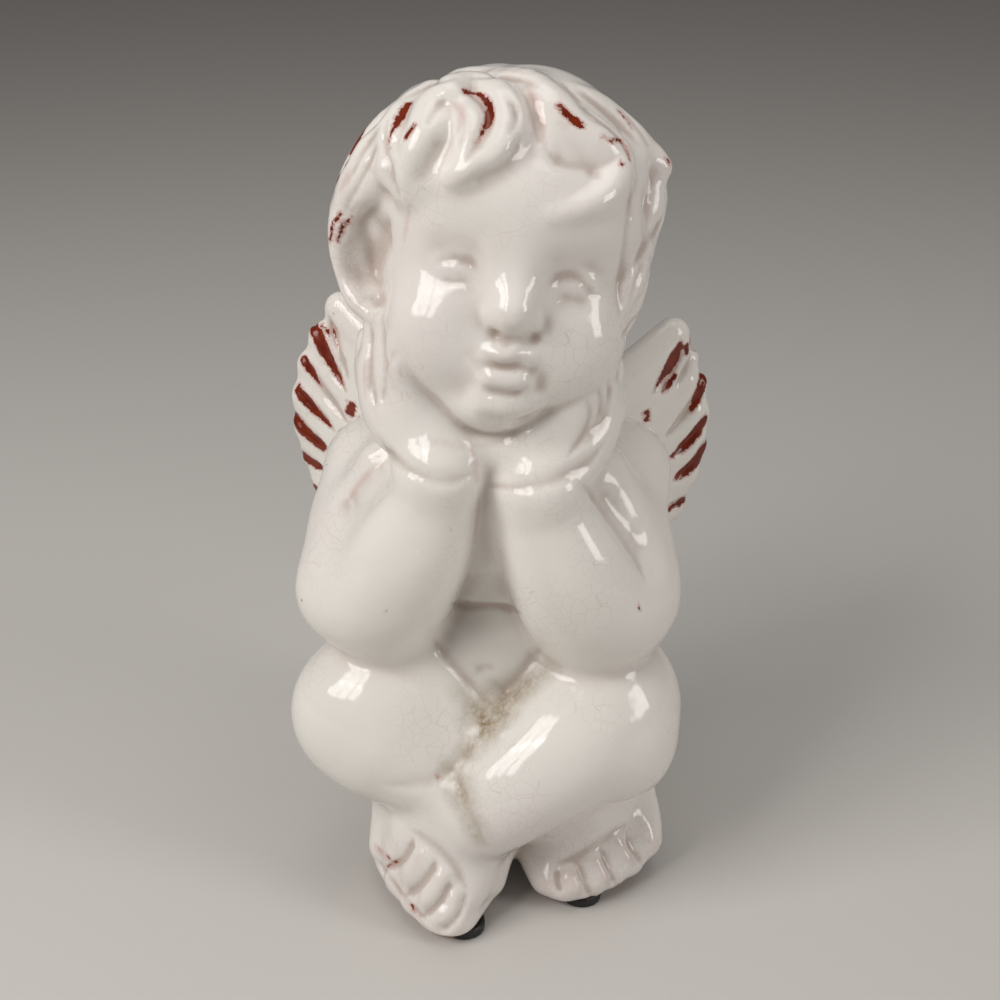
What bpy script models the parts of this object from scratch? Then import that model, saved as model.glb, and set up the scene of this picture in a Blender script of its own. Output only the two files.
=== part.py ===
"""Seated cherub figurine in glazed earthenware, on four rubber pads.

The front faces -Y and +Z is up. The origin is on the table, under the middle of the figure.
Pose and carving are given in 200ths of the figure's height, as a modeller would mark them on a
template, and every length in metres is that share times UNIT.
"""

import math

import bmesh
import bpy
import numpy as np
from mathutils import Matrix, Vector

# Overall sizes, in metres
HEIGHT = 0.200
PAD_DIAMETER = 0.0100
PAD_HEIGHT = 0.0027
PAD_EDGE = 0.0004
PAD_GAP = 0.0003

# Shares of the height
UNIT = HEIGHT / 200
CENTRE_SHIFT = (2.0, 3.2)
SOFT_GRAIN = 1.5
FINE_GRAIN = 0.85
FACETS = 9200

# Limbs and features, in 200ths of the height
THIGH = 20.5
SHIN = 14.0
ELBOW = 15.0
WRIST = 9.8
FINGER = 3.2
BIG_TOE = 5.0
SMALL_TOE = 3.4
FEATHER = 4.3
FEATHER_THIN = 0.62
LEADING_EDGE = 6.6
BACK_LOCKS = 11
BACK_WAVE = 6.0

# The head's own frame: middle of the skull, lean to the side and turn
HEAD = (3.0, -2.0, 161.0)
HEAD_LEAN = 7.5
HEAD_TURN = 3.5
SKULL = (35.0, 36.0, 33.5)
SKULL_MIDDLE = (-3.0, 0.5, 3.0)
NOSE = 3.9
MOUTH = 6.2
EYE_SPREAD = 12.4
EYE_LEVEL = 2.0
SOCKET = 1.8
NAVEL = 1.6
CREASE = 1.2
HOLLOW = 2.4
DETAIL = 3.0e-4


def clear_scene():
    for obj in list(bpy.data.objects):
        bpy.data.objects.remove(obj, do_unlink=True)


def material(name, colour, roughness, coat):
    made = bpy.data.materials.new(name)
    made.use_nodes = True
    shader = made.node_tree.nodes["Principled BSDF"]
    shader.inputs["Base Color"].default_value = (*colour, 1.0)
    shader.inputs["Roughness"].default_value = roughness
    shader.inputs["Coat Weight"].default_value = coat
    return made


def smooth_path(points, count):
    """Rows that pass smoothly through the given rows, whatever their number of columns."""
    rows = np.array(points, float)
    if len(rows) == 2:
        share = np.linspace(0, 1, count)[:, None]
        return rows[0] * (1 - share) + rows[1] * share
    rows = np.vstack([2 * rows[0] - rows[1], rows, 2 * rows[-1] - rows[-2]])
    path = []
    for at in np.linspace(0, len(rows) - 3, count):
        first = min(int(at), len(rows) - 4)
        t = at - first
        a, b, c, d = rows[first : first + 4]
        bend = (2 * a - 5 * b + 4 * c - d) * t * t + (-a + 3 * b - 3 * c + d) * t**3
        path.append(0.5 * (2 * b + (c - a) * t + bend))
    return np.array(path)


HEAD_AXES = np.array(
    Matrix.Rotation(math.radians(HEAD_LEAN), 3, "Y") @ Matrix.Rotation(math.radians(HEAD_TURN), 3, "Z")
)


def in_head(rows):
    """Rows x, y, z and more, from the head's frame to the figure's."""
    rows = np.array(rows, float)
    rows[:, :3] = rows[:, :3] @ HEAD_AXES.T + np.array(HEAD)
    return rows


class Clay:
    """Overlapping closed shapes gathered in one mesh, in 200ths of the height."""

    def __init__(self):
        self.bm = bmesh.new()

    def ball(self, middle, radii, axes=None):
        """An ellipsoid whose axes are the columns of the given rotation."""
        turn = Matrix.Identity(4) if axes is None else Matrix(np.array(axes).tolist()).to_4x4()
        size = Matrix.Diagonal((*radii, 1.0))
        place = Matrix.Translation(Vector(middle)) @ turn @ size
        bmesh.ops.create_icosphere(self.bm, subdivisions=4, radius=1.0, matrix=place)

    def head_ball(self, middle, radii):
        self.ball(in_head([middle])[0], radii, HEAD_AXES)

    def limb(self, points, count=14, thin=1.0, thin_axis=None, sides=16):
        """A closed round tube through rows x, y, z, radius, with domed ends.

        Thin below 1 squeezes it along thin_axis.
        """
        rows = smooth_path(points, count)
        middle, radius = rows[:, :3], rows[:, 3]
        tangent = np.gradient(middle, axis=0)
        tangent /= np.linalg.norm(tangent, axis=1)[:, None]
        rings = []
        for turn in (80, 55, 28):
            a = math.radians(turn)
            dome = middle[0] - tangent[0] * radius[0] * math.sin(a)
            rings.append((dome, tangent[0], radius[0] * math.cos(a)))
        for m, t, r in zip(middle, tangent, radius):
            rings.append((m, t, r))
        for turn in (28, 55, 80):
            a = math.radians(turn)
            dome = middle[-1] + tangent[-1] * radius[-1] * math.sin(a)
            rings.append((dome, tangent[-1], radius[-1] * math.cos(a)))
        side = np.cross(rings[0][1], (0.0, 0.0, 1.0) if abs(rings[0][1][2]) < 0.9 else (1.0, 0.0, 0.0))
        loops = []
        for m, t, r in rings:
            side = side - t * (side @ t)
            side /= np.linalg.norm(side)
            other = np.cross(t, side)
            loop = []
            for k in range(sides):
                angle = 2 * math.pi * k / sides
                out = (side * math.cos(angle) + other * math.sin(angle)) * r
                if thin_axis is not None:
                    axis = np.array(thin_axis)
                    out = out - axis * (out @ axis) * (1 - thin)
                loop.append(self.bm.verts.new(m + out))
            loops.append(loop)
        for a, b in zip(loops[:-1], loops[1:]):
            for k in range(sides):
                self.bm.faces.new((a[k], a[(k + 1) % sides], b[(k + 1) % sides], b[k]))
        self.bm.faces.new(list(reversed(loops[0])))
        self.bm.faces.new(loops[-1])

    def add(self, mesh):
        self.bm.from_mesh(mesh)

    def object(self, name):
        bmesh.ops.recalc_face_normals(self.bm, faces=self.bm.faces[:])
        mesh = bpy.data.meshes.new(name)
        self.bm.to_mesh(mesh)
        self.bm.free()
        made = bpy.data.objects.new(name, mesh)
        bpy.context.collection.objects.link(made)
        return made


def merged(obj, grain, passes):
    """One skin over everything in the object, its creases softened by so many passes."""
    skin = obj.modifiers.new("skin", "REMESH")
    skin.mode = "VOXEL"
    skin.voxel_size = grain
    soften = obj.modifiers.new("soften", "SMOOTH")
    soften.factor = 0.5
    soften.iterations = passes


def finished_mesh(obj):
    """The object's mesh with its modifiers worked in. The object is then removed."""
    bpy.context.view_layer.update()
    graph = bpy.context.evaluated_depsgraph_get()
    mesh = bpy.data.meshes.new_from_object(obj.evaluated_get(graph))
    bpy.data.objects.remove(obj, do_unlink=True)
    return mesh


def press(mesh, middle, reach, depth):
    """A hollow pressed towards +Y: deepest at its middle and gone at its reach along each axis."""
    middle, reach = np.array(middle, float), np.array(reach, float)
    for vertex in mesh.vertices:
        away = float((((np.array(vertex.co) - middle) / reach) ** 2).sum())
        if away < 1:
            vertex.co.y += depth * (1 - away) ** 2


def torso(clay):
    clay.ball((0, 12, 22), (36, 29, 27))
    for side in (-1, 1):
        clay.ball((15 * side, 22, 19), (19.5, 20, 20))
        clay.ball((12 * side, 17, 94), (13, 12, 17))
    clay.limb([(0, 11, 34, 26), (0, 7, 60, 24.5), (0, 9, 86, 23.5), (0, 9, 104, 18)])
    clay.ball((-1, -3.5, 62), (20, 20.5, 15.5))
    clay.limb([(0, 3, 84, 17), (0, -4, 98, 16.5), (0, -8, 112, 13.5)])
    clay.ball((-2, -12, 45), (15, 12, 10))
    clay.ball((0, -13, 118), (13, 12, 10))
    clay.limb([(0, 7, 104, 17), (1, 3, 122, 15), (1, 0, 134, 15)])
    clay.limb([(-29, 6, 102, 13), (0, 8, 107, 15), (27, 6, 102, 13)])


def legs(clay):
    """Both thighs lie out to the sides. One shin passes under, the other crosses in front."""
    clay.limb([(-15, 12, 30, 22), (-23, 0, 39, THIGH + 1), (-28, -16, 46.5, THIGH)])
    clay.ball((-27.5, -20, 47), (THIGH + 1.5, 16, THIGH - 1))
    clay.limb([(-26, -24, 42, 14.5), (-12, -26, 34, 13), (8, -22, 24, 11), (20, -20, 19, 10)])
    clay.limb([(15, 12, 30, 22), (20, 0, 41, THIGH + 0.5), (24, -13, 48.5, THIGH - 1)])
    clay.limb(
        [
            (24.5, -18, 49, THIGH - 1.2),
            (18, -26, 45, 17.5),
            (7, -33, 38, SHIN),
            (-3, -36, 29, SHIN - 2),
            (-7, -36, 23, 11),
        ],
        count=24,
    )
    clay.ball((30, -24, 42), (13, 12, 13))


def foot_frame(heel, big, small):
    heel, big, small = np.array(heel), np.array(big), np.array(small)
    middle = (big + small) / 2
    across = (small - big) / np.linalg.norm(small - big)
    ahead = np.cross(across, (0.0, 0.0, 1.0))
    ahead /= np.linalg.norm(ahead)
    if ahead @ (middle - heel) < 0:
        ahead = -ahead
    return heel, big, small, middle, across, ahead


def foot(clay, ankle, heel, big, small, inner):
    """The foot from its ankle and heel to the line that its toes stand on."""
    heel, big, small, middle, across, ahead = foot_frame(heel, big, small)
    ankle = np.array(ankle)
    clay.limb([(*ankle, 11.0), (*((ankle + heel) / 2), 10.5), (*heel, 9.0)], count=8)
    for share, wide in ((0.22, 0.9), (0.5, 1.0), (0.78, 0.9)):
        at = big + (small - big) * share
        start = ankle + (at - middle) * 0.3 + (0, 0, -1.5)
        arch = (ankle + at) / 2 - ahead + (0, 0, 2.0)
        ball = at - ahead * 5 + (0, 0, 0.5)
        clay.limb([(*start, 9 * wide), (*arch, 8 * wide), (*ball, 7 * wide)], count=10)
    axes = np.stack([across, ahead, np.cross(across, ahead)], 1)
    half = float(np.linalg.norm(small - big)) * 0.56
    clay.ball(middle - ahead * 6 + (0, 0, -0.6), (half, 9, 7.5), axes)
    clay.limb(inner, count=8)


def toes(clay, heel, big, small, reach):
    """Five toes side by side, each humped at its joint and turned down at the tip."""
    heel, big, small, middle, across, ahead = foot_frame(heel, big, small)
    places = (0.0, 0.29, 0.53, 0.75, 0.95)
    for index, share in enumerate(places):
        radius = BIG_TOE if index == 0 else SMALL_TOE + 0.25 * (4 - index)
        at = big + (small - big) * share
        root = at - ahead * 5
        root = root + (middle - root) * 0.12
        tip = at + ahead * (reach - 0.45 * index)
        joint = root * 0.45 + tip * 0.55 + (0, 0, 1.3)
        tip = tip + (0, 0, -0.6)
        clay.limb([(*root, radius * 0.95), (*joint, radius), (*tip, radius * 0.98)], count=7, sides=12)


def arms(clay):
    clay.limb([(-29, 4, 101, 13.5), (-33, -6, 91, 13), (-32, -15, 83, 13.8)])
    clay.limb(
        [
            (-31.5, -16, 81.5, 14),
            (-26.5, -21.5, 82.5, ELBOW),
            (-19.5, -25.5, 94, 14),
            (-13.5, -27, 107, 11),
            (-12, -28, 116, WRIST),
        ],
        count=22,
    )
    clay.limb([(27, 4, 101, 13.5), (30.5, -6, 91, 12.8), (29.5, -15, 81, 13.4)])
    clay.limb(
        [
            (28.5, -16.5, 80.5, 14),
            (24, -21.5, 81, ELBOW),
            (17.5, -25.5, 92, 14),
            (12, -27, 106, 11),
            (11, -28, 113, WRIST),
        ],
        count=22,
    )


def palms(clay):
    left = [(-11.5, -27, 115, WRIST), (-14.5, -23.5, 121, 9.8)]
    left += [(-20.5, -19, 128.5, 9.4), (-23.5, -16, 136, 7.8)]
    clay.limb(left)
    right = [(10.5, -27, 113, WRIST), (11.5, -25.5, 117, 9.4)]
    right += [(17, -22.5, 121.5, 9), (21.5, -18, 128, 7.6)]
    clay.limb(right)


def fingers(clay, roots, tips, bow, arch):
    """Four fingers spread between the first and the last, bowed outwards, the middle ones longer."""
    roots = smooth_path(roots, 4)
    tips = smooth_path(tips, 4)
    for index, (root, tip) in enumerate(zip(roots, tips)):
        longer = arch * math.sin(math.pi * (index + 0.5) / 4)
        tip = tip + (0, 0, longer)
        middle = (root + tip) / 2 + np.array(bow)
        radius = FINGER if index in (1, 2) else FINGER - 0.2
        rows = [(*root, radius * 1.15), (*middle, radius * 1.08), (*tip, radius * 0.9)]
        clay.limb(rows, count=9, sides=12)


def skull(clay):
    clay.head_ball((-2, 4, 2), (31, 30.5, 32))
    clay.head_ball((0, -6, -6), (26.5, 25, 24))
    clay.head_ball((0, -11, 12), (26, 20.5, 18))
    for side in (-1, 1):
        clay.head_ball((12 * side, -18.5, -14.5), (13.6, 13.4, 13.5))
    clay.head_ball((0, -15.5, -20.5), (20, 16.5, 14))
    clay.head_ball((0, -26, -27.5), (8, 6.8, 5.4))
    clay.head_ball((0, -24.8, -15.5), (10, 8.8, 8.5))
    clay.head_ball((-3, 4, 2), (33.4, 30.5, 31.5))
    clay.head_ball((2, 3, 10.5), (29, 29, 28.8))
    # The bridge of the nose, blended into the brow
    clay.limb(in_head([(0, -29.5, 6, 3), (0, -31.4, 1, 3.2), (0, -32.6, -4, NOSE - 0.6)]), count=8)


def face(clay):
    """A plain infant face: short nose, small full lips, smooth closed-looking eyes."""
    clay.head_ball((0, -33.6, -3.6), (NOSE * 0.85, 4.6, 4.6))
    clay.head_ball((0, -35.2, -5.2), (NOSE, NOSE, NOSE - 0.6))
    for side in (-1, 1):
        clay.head_ball((NOSE * side, -33, -6), (2.8, 3.4, 2.7))
    half = MOUTH / 2
    upper = [(-MOUTH, -31.9, -16, 1.3), (-half, -34, -14.2, 1.9), (0, -34.3, -14.9, 1.8)]
    upper += [(half, -34, -14.2, 1.9), (MOUTH, -31.9, -16, 1.3)]
    clay.limb(in_head(upper), count=12, sides=12)
    lower = [(-MOUTH * 0.8, -31.9, -17.4, 1.2), (-half * 0.8, -33.4, -19, 2.2)]
    lower += [(half * 0.8, -33.4, -19, 2.2), (MOUTH * 0.8, -31.9, -17.4, 1.2)]
    clay.limb(in_head(lower), count=10, sides=12)
    for side in (-1, 1):
        clay.head_ball((EYE_SPREAD * side, -23.9, EYE_LEVEL), (6.6, 5.2, 4.0))


def on_hair(turn, rise, lift):
    """A point on the hair's shell: turn from the face towards +X and rise, in degrees."""
    a, b = math.radians(turn), math.radians(rise)
    way = np.array((math.sin(a) * math.cos(b), -math.cos(a) * math.cos(b), math.sin(b)))
    out = way / np.array(SKULL)
    return np.array(SKULL_MIDDLE) + way * np.array(SKULL) + out / np.linalg.norm(out) * lift


def lock(clay, *marks):
    """A lock of hair through marks turn, rise, half-width and height above the shell."""
    rows = [(*on_hair(turn, rise, height - wide), wide) for turn, rise, wide, height in marks]
    clay.limb(in_head(smooth_path(rows, 16)), count=16, sides=12)


def hair(clay):
    # Forelocks to the left of the parting, curling to the left
    lock(
        clay,
        (-52, 62, 3.0, 0.2),
        (-34, 62, 4.6, 1.8),
        (-17, 55, 5.0, 2.6),
        (-13, 43, 5.0, 2.6),
        (-19, 34, 4.4, 2.0),
        (-28, 27, 2.4, 0.8),
    )
    lock(
        clay,
        (-50, 55, 3.0, 0.4),
        (-36, 52, 4.0, 1.4),
        (-28, 44, 4.2, 1.6),
        (-28, 35, 3.6, 1.2),
        (-31, 28, 2.0, 0.4),
    )
    lock(clay, (-50, 56, 3.0, 0.6), (-51, 44, 4.6, 1.6), (-48, 31, 4.6, 1.8), (-42, 20, 3.0, 0.8))
    lock(
        clay,
        (-60, 54, 3.0, 0.6),
        (-65, 40, 5.4, 1.6),
        (-60, 27, 5.0, 1.8),
        (-50, 18, 4.0, 1.4),
        (-43, 12, 2.2, 0.4),
    )
    lock(
        clay,
        (-74, 48, 4.0, 0.4),
        (-86, 30, 6.5, 1.4),
        (-88, 12, 6.5, 2.6),
        (-84, -4, 6.4, 3.8),
        (-76, -18, 5.2, 3.6),
        (-63, -30, 2.6, 1.2),
    )
    lock(clay, (-66, 30, 3.0, 0.8), (-71, 18, 5.0, 1.6), (-70, 5, 5.0, 2.0), (-74, -8, 4.0, 1.2))
    lock(clay, (-44, 17, 2.4, 0.4), (-53, 10, 4.0, 1.2), (-62, 2, 4.0, 1.2), (-70, -8, 3.0, 0.8))
    # The fringe that sweeps right and curls back over the forehead
    lock(
        clay,
        (-10, 66, 3.0, 0.6),
        (6, 56, 5.0, 2.0),
        (20, 48, 5.0, 3.2),
        (35, 43, 5.0, 4.0),
        (43, 34, 4.6, 4.0),
        (38, 26, 3.8, 3.0),
        (24, 21, 2.2, 1.2),
    )
    lock(clay, (0, 60, 3.0, 0.4), (6, 49, 4.2, 1.8), (18, 42, 4.2, 2.4), (31, 37, 3.0, 2.4))
    # Locks down the right side, one of them standing out at the temple
    lock(
        clay,
        (-20, 76, 3.0, 0.4),
        (30, 70, 5.4, 1.6),
        (56, 56, 5.8, 2.2),
        (53, 40, 5.4, 2.6),
        (47, 25, 4.6, 2.4),
        (45, 10, 3.6, 1.6),
        (50, -2, 2.0, 0.6),
    )
    lock(
        clay,
        (30, 78, 3.0, 0.4),
        (70, 62, 5.4, 1.6),
        (78, 46, 5.8, 2.8),
        (83, 34, 4.8, 4.2),
        (86, 27, 2.8, 5.0),
    )
    lock(
        clay,
        (92, 60, 3.0, 0.4),
        (98, 42, 6.0, 1.6),
        (90, 25, 6.5, 2.6),
        (76, 12, 5.8, 2.6),
        (62, 2, 4.4, 1.8),
        (56, -6, 2.4, 1.0),
    )
    lock(
        clay,
        (104, 26, 3.4, 0.4),
        (96, 8, 6.0, 0.8),
        (82, -6, 5.4, 0.4),
        (72, -19, 4.8, 0.8),
        (63, -36, 2.8, 0.8),
    )
    lock(clay, (72, 8, 2.6, 0.8), (64, -6, 4.4, 1.6), (62, -18, 4.0, 1.6), (59, -30, 2.0, 0.8))
    # Waves that fall from the crown all round the back
    for index in range(BACK_LOCKS):
        turn = 104 + 142 * index / (BACK_LOCKS - 1)
        marks = [(turn * 0.5 + 88, 80, 3.0, 0.6)]
        for step in range(5):
            fall = 19 * step + 5 * (index % 2)
            marks.append((turn + BACK_WAVE * (-1) ** step, 61 - fall, 5.4 - 0.2 * step, 3.0))
        lock(clay, *marks, (turn + BACK_WAVE * 1.6, -36, 2.6, 1.6))


def wing(clay, side, root, fan, tips):
    """Feathers that lie side by side on a web, from the shoulder out to the given tips."""
    root, fan = np.array(root), np.array(fan)
    flat = np.array((-side * 0.51, 0.86, 0.0))
    flat /= np.linalg.norm(flat)
    tips = smooth_path(tips, 7)
    for index, tip in enumerate(tips):
        base = root + (fan - root) * index / (len(tips) - 1)
        along = tip - base
        if index == 0:
            bend = (root + tip) / 2 + (-side * 0.5, 0, 1.5)
            end = root + along * 0.93
            rows = [(*root, LEADING_EDGE + 1.9), (*bend, LEADING_EDGE), (*end, LEADING_EDGE - 2)]
            clay.limb(rows, count=12, thin=0.8, thin_axis=flat)
            continue
        rows = [(*base, 7.0), (*(base + along * 0.5), 6.5), (*(base + along * 0.84), 4.5)]
        clay.limb(rows, count=8, thin=0.5, thin_axis=flat)
        rows = [(*base, FEATHER - 0.8), (*(base + along * 0.55 - flat), FEATHER)]
        rows += [(*(base + along * 0.8), FEATHER), (*(base + along * 0.93), FEATHER - 1)]
        clay.limb(rows, count=10, thin=FEATHER_THIN, thin_axis=flat)


def cherub():
    left_foot = dict(heel=(-4, -24, 14), big=(-25.4, -26, 8.4), small=(-9.4, -49, 6.8))
    right_foot = dict(heel=(17, -18, 14), big=(36.6, -19, 8.4), small=(19, -36, 6.8))
    left_inner = [(-19, -20, 22, 10), (-23, -22, 16, 8.6), (-25.5, -23.5, 10, 6.2)]
    right_inner = [(30, -15, 24, 9.5), (33, -16, 17, 8), (36.2, -17.5, 10.5, 6)]
    soft = Clay()
    torso(soft)
    legs(soft)
    arms(soft)
    palms(soft)
    foot(soft, ankle=(-8, -33, 23), inner=left_inner, **left_foot)
    foot(soft, ankle=(20, -24, 21), inner=right_inner, **right_foot)
    skull(soft)
    body = soft.object("soft_forms")
    merged(body, SOFT_GRAIN, 10)

    base = finished_mesh(body)
    # Eye sockets under the brow, navel, belly crease and the hollow above each forearm
    for side in (-1, 1):
        press(base, in_head([(EYE_SPREAD * side, -30, EYE_LEVEL + 1.5)])[0], (10.5, 8, 6.5), SOCKET)
    press(base, (-1, -24.5, 65), (3.2, 4, 2.6), NAVEL)
    press(base, (-1, -19, 76.5), (15, 8, 3.4), CREASE)
    press(base, (-25, -17, 104), (6, 9, 10), HOLLOW)
    press(base, (24, -18, 101), (5, 9, 11), HOLLOW)

    fine = Clay()
    fine.add(base)
    face(fine)
    hair(fine)
    roots, tips = [(-27.3, -15.5, 127.2), (-16.6, -27, 125)], [(-29, -12.5, 141), (-20, -22.8, 142)]
    fingers(fine, roots, tips, bow=(-0.8, -0.8, 0), arch=3.4)
    roots, tips = [(21.8, -15, 119.5), (9.6, -28, 116)], [(24.6, -13.5, 139), (20.8, -25, 129)]
    fingers(fine, roots, tips, bow=(1.6, -0.8, -1.4), arch=1.5)
    toes(fine, reach=1.4, **left_foot)
    toes(fine, reach=1.2, **right_foot)
    ends = [(-44.6, 39, 133), (-54.6, 41, 116), (-56.6, 41, 98.5), (-51.2, 40, 82)]
    wing(fine, -1, (-14, 20, 104), (-27, 27, 76), ends)
    ends = [(43.8, 38, 128.5), (51.6, 40, 113), (52, 40, 96), (45.8, 39, 78)]
    wing(fine, 1, (14, 20, 104), (24, 27, 70), ends)
    figure = fine.object("cherub")
    merged(figure, FINE_GRAIN, 4)
    mesh = finished_mesh(figure)

    # To metres, and over the origin
    place = Matrix.Scale(UNIT, 4) @ Matrix.Translation((*CENTRE_SHIFT, 0.0))
    mesh.transform(place)
    figure = bpy.data.objects.new("cherub", mesh)
    bpy.context.collection.objects.link(figure)
    mesh.calc_loop_triangles()
    facets = figure.modifiers.new("facets", "DECIMATE")
    facets.ratio = FACETS / len(mesh.loop_triangles)
    facets.use_collapse_triangulate = True
    # Facets are kept smaller on the face, hands and feet
    group = figure.vertex_groups.new(name="broad")
    face_at = np.array((*in_head([(0, -30, -8)])[0],))
    for vertex in mesh.vertices:
        at = np.array(vertex.co) / UNIT - (*CENTRE_SHIFT, 0.0)
        near_face = np.linalg.norm((at - face_at) / (24, 16, 24)) < 1
        near_toes = at[2] < 16 and at[1] < -16
        near_hand = 118 < at[2] < 150 and at[1] < -8 and abs(at[0]) > 12
        group.add([vertex.index], 0.05 if near_face or near_toes or near_hand else 1.0, "REPLACE")
    facets.vertex_group = "broad"
    facets.vertex_group_factor = DETAIL * HEIGHT

    # The foot of the casting is ground flat, a gap above the pads
    below = Clay()
    bmesh.ops.create_cube(below.bm, size=1.0)
    ground = below.object("ground")
    ground.scale = (HEIGHT, HEIGHT, HEIGHT / 4)
    ground.location = (0.0, 0.0, PAD_HEIGHT + PAD_GAP - HEIGHT / 8)
    ground.hide_render = True
    ground.display_type = "WIRE"
    flat = figure.modifiers.new("flat foot", "BOOLEAN")
    flat.operation = "DIFFERENCE"
    flat.solver = "EXACT"
    flat.object = ground
    for face_ in mesh.polygons:
        face_.use_smooth = True
    return figure


def pad(name, x, y, rubber):
    """A round stick-on bumper, its rims eased."""
    bm = bmesh.new()
    bmesh.ops.create_cone(
        bm, cap_ends=True, segments=20, radius1=PAD_DIAMETER / 2, radius2=PAD_DIAMETER / 2, depth=PAD_HEIGHT
    )
    rims = [edge for edge in bm.edges if abs(edge.verts[0].co.z - edge.verts[1].co.z) < PAD_HEIGHT / 10]
    bmesh.ops.bevel(bm, geom=rims, offset=PAD_EDGE, segments=1, affect="EDGES")
    mesh = bpy.data.meshes.new(name)
    bm.to_mesh(mesh)
    bm.free()
    for face_ in mesh.polygons:
        face_.use_smooth = len(face_.vertices) <= 4
    mesh.materials.append(rubber)
    made = bpy.data.objects.new(name, mesh)
    made.location = ((x + CENTRE_SHIFT[0]) * UNIT, (y + CENTRE_SHIFT[1]) * UNIT, PAD_HEIGHT / 2)
    bpy.context.collection.objects.link(made)


def main():
    clear_scene()
    glaze = material("white_crackle_glaze", (0.78, 0.74, 0.70), 0.12, 0.6)
    rubber = material("black_rubber", (0.012, 0.012, 0.013), 0.45, 0.0)
    figure = cherub()
    figure.data.materials.clear()
    figure.data.materials.append(glaze)
    for name, x, y in (
        ("pad_front_left", -6.5, -42.5),
        ("pad_front_right", 22.0, -29.5),
        ("pad_rear_left", -20.0, 28.0),
        ("pad_rear_right", 20.0, 28.0),
    ):
        pad(name, x, y, rubber)


main()
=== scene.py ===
"""The glazed cherub figurine, sculpted in clay on a grid and glazed."""

import math

import bpy
import numpy as np
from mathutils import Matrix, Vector


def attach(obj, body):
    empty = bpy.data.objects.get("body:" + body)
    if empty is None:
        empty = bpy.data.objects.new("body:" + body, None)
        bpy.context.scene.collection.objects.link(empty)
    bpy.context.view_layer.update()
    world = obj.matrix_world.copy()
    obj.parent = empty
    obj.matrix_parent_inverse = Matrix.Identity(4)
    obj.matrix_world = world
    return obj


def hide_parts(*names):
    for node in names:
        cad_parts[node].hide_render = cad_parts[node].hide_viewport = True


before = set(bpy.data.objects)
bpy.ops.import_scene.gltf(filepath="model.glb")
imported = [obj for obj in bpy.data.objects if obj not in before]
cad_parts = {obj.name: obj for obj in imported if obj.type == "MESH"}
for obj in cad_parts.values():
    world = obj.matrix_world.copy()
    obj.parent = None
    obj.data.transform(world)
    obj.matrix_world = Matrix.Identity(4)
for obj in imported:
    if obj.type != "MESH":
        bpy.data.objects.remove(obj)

# Lengths are in mm, in the figure's own frame: the front faces -Y and the table is at z 0
GRAIN = 0.6  # the width of a cell of clay
MOST_TRIANGLES = 190000
CENTRE_SHIFT = (2.0, 3.2, 0.0)  # from the figure's frame to the shared one
METRE = 1000.0
UNDERSIDE = 3.0  # height of the figure's flat underside over the table
FAR = 9.0  # stands for far from any clay
STRIDE = 0.4  # how far a ray goes between two looks at the clay
THINNED = 0.8  # keeps the distance to a thinned limb from being too long


def turned(axis, degrees):
    """Axes turned about the y or the z axis."""
    c = math.cos(math.radians(degrees))
    s = math.sin(math.radians(degrees))
    rows = {"y": ((c, 0, s), (0, 1, 0), (-s, 0, c)), "z": ((c, -s, 0), (s, c, 0), (0, 0, 1))}
    return np.array(rows[axis], float)


# The head's place and tilt, and the hair's shell in the head's frame
HEAD = np.array((3.0, -2.0, 161.0))
HEAD_AXES = turned("y", 7.5) @ turned("z", 3.5)
SKULL = np.array((35.0, 36.0, 33.5))
SKULL_MIDDLE = np.array((-3.0, 0.5, 3.0))


def path(rows, count):
    """Rows that pass smoothly through the given rows, whatever their number of columns."""
    rows = np.array(rows, float)
    if len(rows) == 2:
        share = np.linspace(0, 1, count)[:, None]
        return rows[0] * (1 - share) + rows[1] * share
    rows = np.vstack([2 * rows[0] - rows[1], rows, 2 * rows[-1] - rows[-2]])
    out = []
    for at in np.linspace(0, len(rows) - 3, count):
        first = min(int(at), len(rows) - 4)
        t = at - first
        a, b, c, d = rows[first:first + 4]
        bend = (2 * a - 5 * b + 4 * c - d) * t * t + (-a + 3 * b - 3 * c + d) * t**3
        out.append(0.5 * (2 * b + (c - a) * t + bend))
    return np.array(out)


def blended(a, b, blend):
    """The lower of two distances, with a rounded joint of the blend's width."""
    low = np.minimum(a, b)
    if blend > 0:
        near = np.maximum(blend - np.abs(a - b), 0) / blend
        low -= near * near * (blend * 0.25)
    return low


def ball(middle, radii, axes=None):
    """Low corner, high corner and distance of an ellipsoid; the columns of axes are its own axes."""
    middle = np.array(middle, float)
    radii = np.array(radii, float)
    reach = radii if axes is None else np.sqrt(((axes * radii) ** 2).sum(1))

    def distance(p):
        q = [p[i] - np.float32(middle[i]) for i in range(3)]
        if axes is not None:
            q = [sum(np.float32(axes[j, i]) * q[j] for j in range(3)) for i in range(3)]
        a = np.sqrt(sum((q[i] / np.float32(radii[i])) ** 2 for i in range(3)))
        b = np.sqrt(sum((q[i] / np.float32(radii[i] ** 2)) ** 2 for i in range(3)))
        return a * (a - 1) / np.maximum(b, 1e-6)

    return middle - reach, middle + reach, distance


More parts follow.
